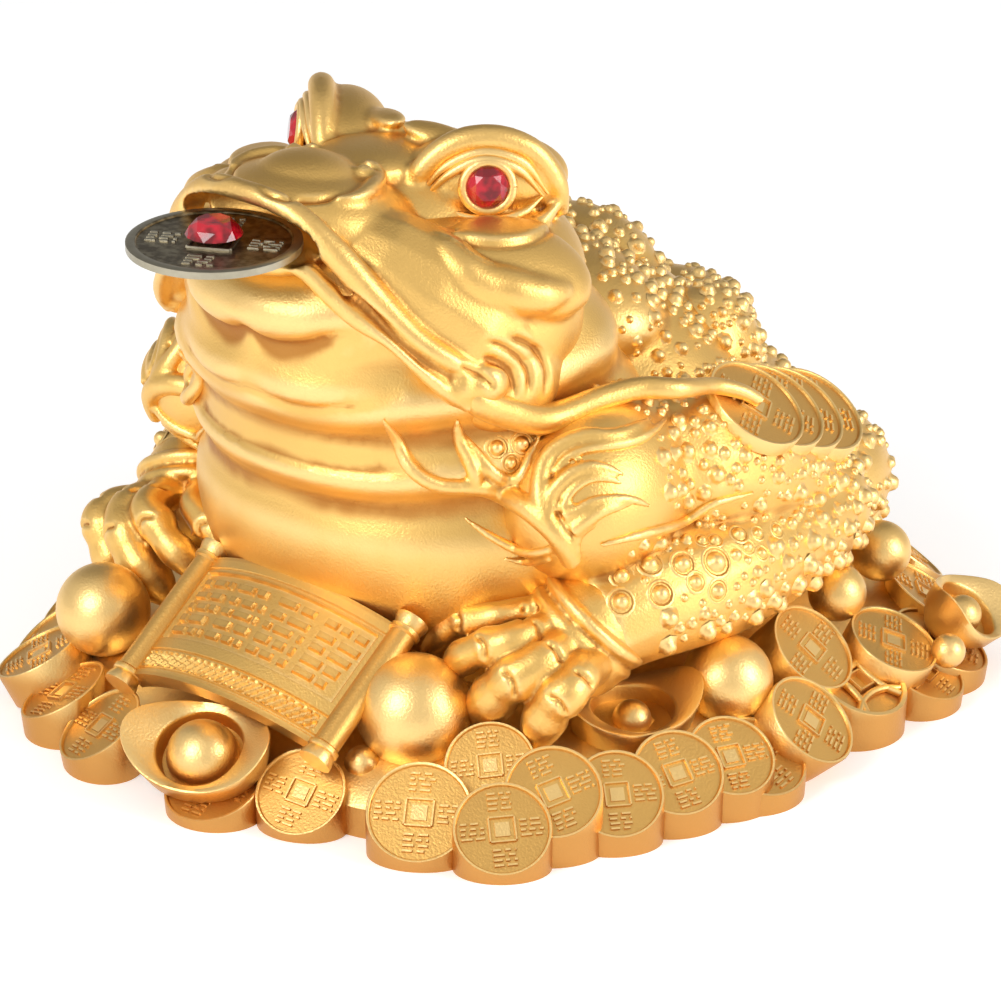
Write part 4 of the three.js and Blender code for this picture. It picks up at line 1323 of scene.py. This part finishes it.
# %% Shader sums
class Sum:
    def __init__(self, tree, socket):
        self.tree, self.socket = tree, socket

    def node(self, kind, settings, values, output=0):
        """One output of any node: its settings first, then the values or links of its sockets."""
        made = self.tree.nodes.new(kind)
        for key, value in settings.items():
            setattr(made, key, value)
        for key, value in values.items():
            if isinstance(value, Sum):
                self.tree.links.new(value.socket, made.inputs[key])
            else:
                made.inputs[key].default_value = value
        return Sum(self.tree, made.outputs[output])

    def math(self, operation, first, second):
        return self.node("ShaderNodeMath", {"operation": operation}, {0: first, 1: second})

    def __add__(self, other):
        return self.math("ADD", self, other)

    def __rsub__(self, other):
        return self.math("SUBTRACT", other, self)

    def __mul__(self, other):
        return self.math("MULTIPLY", self, other)

    __radd__ = __add__
    __rmul__ = __mul__

    def clamped(self, low, high):
        """Rises smoothly from 0 at low to 1 at high."""
        values = {"Value": self, "From Min": low, "From Max": high}
        return self.node("ShaderNodeMapRange", {"interpolation_type": "SMOOTHSTEP"}, values)

    def mix(self, first, second):
        """A colour from the first to the second, by this value."""
        return self.node("ShaderNodeMix", {"data_type": "RGBA"}, {0: self, 6: first, 7: second}, 2)


# %% Materials from sums
def material(name, **constants):
    made = bpy.data.materials.new(name)
    made.use_nodes = True
    shader = made.node_tree.nodes["Principled BSDF"]
    for key, value in constants.items():
        shader.inputs[key.replace("_", " ")].default_value = value
    return made, shader


def linked(shader, **sums):
    for key, value in sums.items():
        value.tree.links.new(value.socket, shader.inputs[key.replace("_", " ")])


def place_on(made):
    tree = made.node_tree
    return Sum(tree, tree.nodes.new("ShaderNodeTexCoord").outputs["Object"])


def noise(place, scale, detail=2.0):
    return place.node("ShaderNodeTexNoise", {}, {"Vector": place, "Scale": scale, "Detail": detail}, "Fac")


def hollow_on(place):
    return place.node("ShaderNodeAttribute", {"attribute_name": "hollow"}, {}, "Fac")


def upward(vector):
    return vector.node("ShaderNodeSeparateXYZ", {}, {"Vector": vector}, "Z")


def bumped(grain, strength):
    values = {"Strength": strength, "Distance": 0.0001, "Height": grain}
    return grain.node("ShaderNodeBump", {}, values, "Normal")


# %% Gold lacquer
GOLD = (0.88, 0.55, 0.165, 1)
# Painted highlight: the paler gold laid on the raised parts.
GOLD_HIGHLIGHT_PALE = (0.97, 0.66, 0.26, 1)
# Painted shade: the darker tone laid into the hollows.
GOLD_SHADE_BROWN = (0.46, 0.19, 0.04, 1)
# Painted shade: the darker tone of the steep low walls of the coins, a dark reflection of the dim room near
# the floor.
WALL_SHADE_BROWN = (0.6, 0.3, 0.085, 1)


def gold_lacquer(name, hollow_from, hollow_to, shade_amount, walls):
    """Gold with painted shade in its hollows, a paler painted highlight on its raised parts, and painted
    shade on the steep low walls of the coins where wanted.
    """
    made, shader = material(name, Metallic=1.0)
    place = place_on(made)
    hollow = hollow_on(place)
    grain = noise(place, 2600)
    # Painted shade in the hollows: the deeper a point lies, the more its gold turns to the darker tone, with
    # a little noise.
    painted_shade = hollow.clamped(hollow_from, hollow_to) * (0.75 + 0.35 * noise(place, 60)) * shade_amount
    # Raised parts get the paler painted highlight, and the painted shade is mixed over it.
    colour = painted_shade.mix((1 - hollow).clamped(0.55, 0.8).mix(GOLD, GOLD_HIGHLIGHT_PALE), GOLD_SHADE_BROWN)
    # Painted shade on the steep walls low on the table, standing for the dark reflection of the room near the
    # floor.
    if walls:
        low = 1 - upward(place).clamped(0.005, 0.011)
        steep = 1 - upward(place.node("ShaderNodeNewGeometry", {}, {}, "Normal")).clamped(0.1, 0.4)
        colour = (low * steep).mix(colour, WALL_SHADE_BROWN)
    roughness = 0.34 + 0.12 * grain + 0.1 * painted_shade
    linked(shader, Base_Color=colour, Roughness=roughness, Normal=bumped(grain, 0.6))
    return made


gold_skin = gold_lacquer("gold_skin", 0.54, 0.8, 1, False)
gold_heap = gold_lacquer("gold_heap", 0.58, 0.9, 0.35, True)

# %% Bronze and stones
PATINA = ((0.13, 0.1, 0.055, 1), (0.34, 0.29, 0.19, 1))
BRONZE_WORN = (0.45, 0.41, 0.31, 1)
GLASS = ((0.16, 0.001, 0.004, 1), (0.55, 0.005, 0.02, 1))

bronze, shader = material("worn_bronze", Metallic=1.0)
place = place_on(bronze)
scuffs = noise(place, 420, 4.0)
worn = (1 - hollow_on(place)).clamped(0.52, 0.62) * (0.6 + 0.5 * scuffs)
colour = worn.mix(noise(place, 700, 5.0).clamped(0.35, 0.7).mix(*PATINA), BRONZE_WORN)
linked(shader, Base_Color=colour, Roughness=0.24 + 0.2 * scuffs, Normal=bumped(noise(place, 1500), 0.25))

red_glass, shader = material(
    "red_cut_glass", IOR=1.6, Specular_IOR_Level=0.5, Coat_Weight=0.2, Coat_Roughness=0.03
)
glow = noise(place_on(red_glass), 380).clamped(0.4, 0.65)
linked(shader, Base_Color=glow.mix(*GLASS), Roughness=0.05 + 0.05 * glow)

# %% [markdown]
# ## Finishing the pieces
#
# A finished piece is moved into the frame in metres and shaded smooth, rides on the only body, stands for
# its imported node and gets its material.

# %% Finish
SMOOTH_ANGLE = math.radians(40)
WART_SMOOTH = math.radians(85)


def finished(body, finish, node, flat=False):
    body.data.transform(Matrix.Scale(MM, 4) @ Matrix.Translation(TO_FRAME))
    select_only(body)
    if flat:
        bpy.ops.object.shade_flat()
    else:
        bpy.ops.object.shade_smooth_by_angle(angle=WART_SMOOTH if body in skins else SMOOTH_ANGLE)
    body.data.materials.clear()
    body.data.materials.append(finish)
    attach(body, "root")
    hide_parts(node)
    print(body.name, "triangles:", triangles(body))


for body in skins:
    finished(body, gold_skin, "toad_figure")
for body in treasure:
    finished(body, gold_heap, "toad_figure")
finished(toad_coin, bronze, "mouth_coin")
for body, node in zip(stones, ("coin_stone", "eye_stone_left", "eye_stone_right")):
    finished(body, red_glass, node, flat=True)

# %% [markdown]
# ## Studio
#
# Two bright spots on each pearl tell where the photographer's softboxes stood: one straight before the
# toad's face and one low at its left side. Behind the toad the room is dim at half height, so the tops of
# its head and muzzle are browner.

# %% Floor and lights
bpy.ops.object.select_all(action="DESELECT")
bpy.ops.mesh.primitive_plane_add(size=8, location=(0, 0, 0))
floor = bpy.context.object
floor.name = "floor"
PALE = (0.95, 0.95, 0.95, 1)
WHITE = (1, 1, 1, 1)
floor_paint, _ = material(
    "pale_floor", Roughness=0.7, Base_Color=PALE, Emission_Color=WHITE, Emission_Strength=0.3
)
floor.data.materials.append(floor_paint)

SOFTBOX_SIZE = (0.32, 0.42)
SOFTBOX_POWER = 2.6
LIT_PLACE = Vector((0, 0, 0.05))
for name, place in (("softbox_front", (0.0, -0.62, 0.43)), ("softbox_side", (0.66, 0.19, 0.3))):
    light = bpy.data.lights.new(name, "AREA")
    light.shape = "RECTANGLE"
    light.size, light.size_y = SOFTBOX_SIZE
    light.energy = SOFTBOX_POWER
    lamp = added(name, light)
    lamp.location = place
    lamp.rotation_euler = (Vector(place) - LIT_PLACE).to_track_quat("Z", "Y").to_euler()

# %% Room
ROOM_STRENGTH = 0.65
DUSK = (-0.55, 0.5, 0.67)
DUSK_DIMS = 0.4
world = bpy.data.worlds.new("studio")
world.use_nodes = True
room = world.node_tree
toward = Sum(room, room.nodes.new("ShaderNodeTexCoord").outputs["Generated"])
behind = toward.node("ShaderNodeVectorMath", {"operation": "DOT_PRODUCT"}, {0: toward, 1: DUSK}, "Value")
strength = ROOM_STRENGTH - DUSK_DIMS * behind.clamped(0.7, 0.97)
room.links.new(strength.socket, room.nodes["Background"].inputs["Strength"])
room.nodes["Background"].inputs["Color"].default_value = WHITE
bpy.context.scene.world = world
bpy.context.scene.view_settings.view_transform = "Standard"
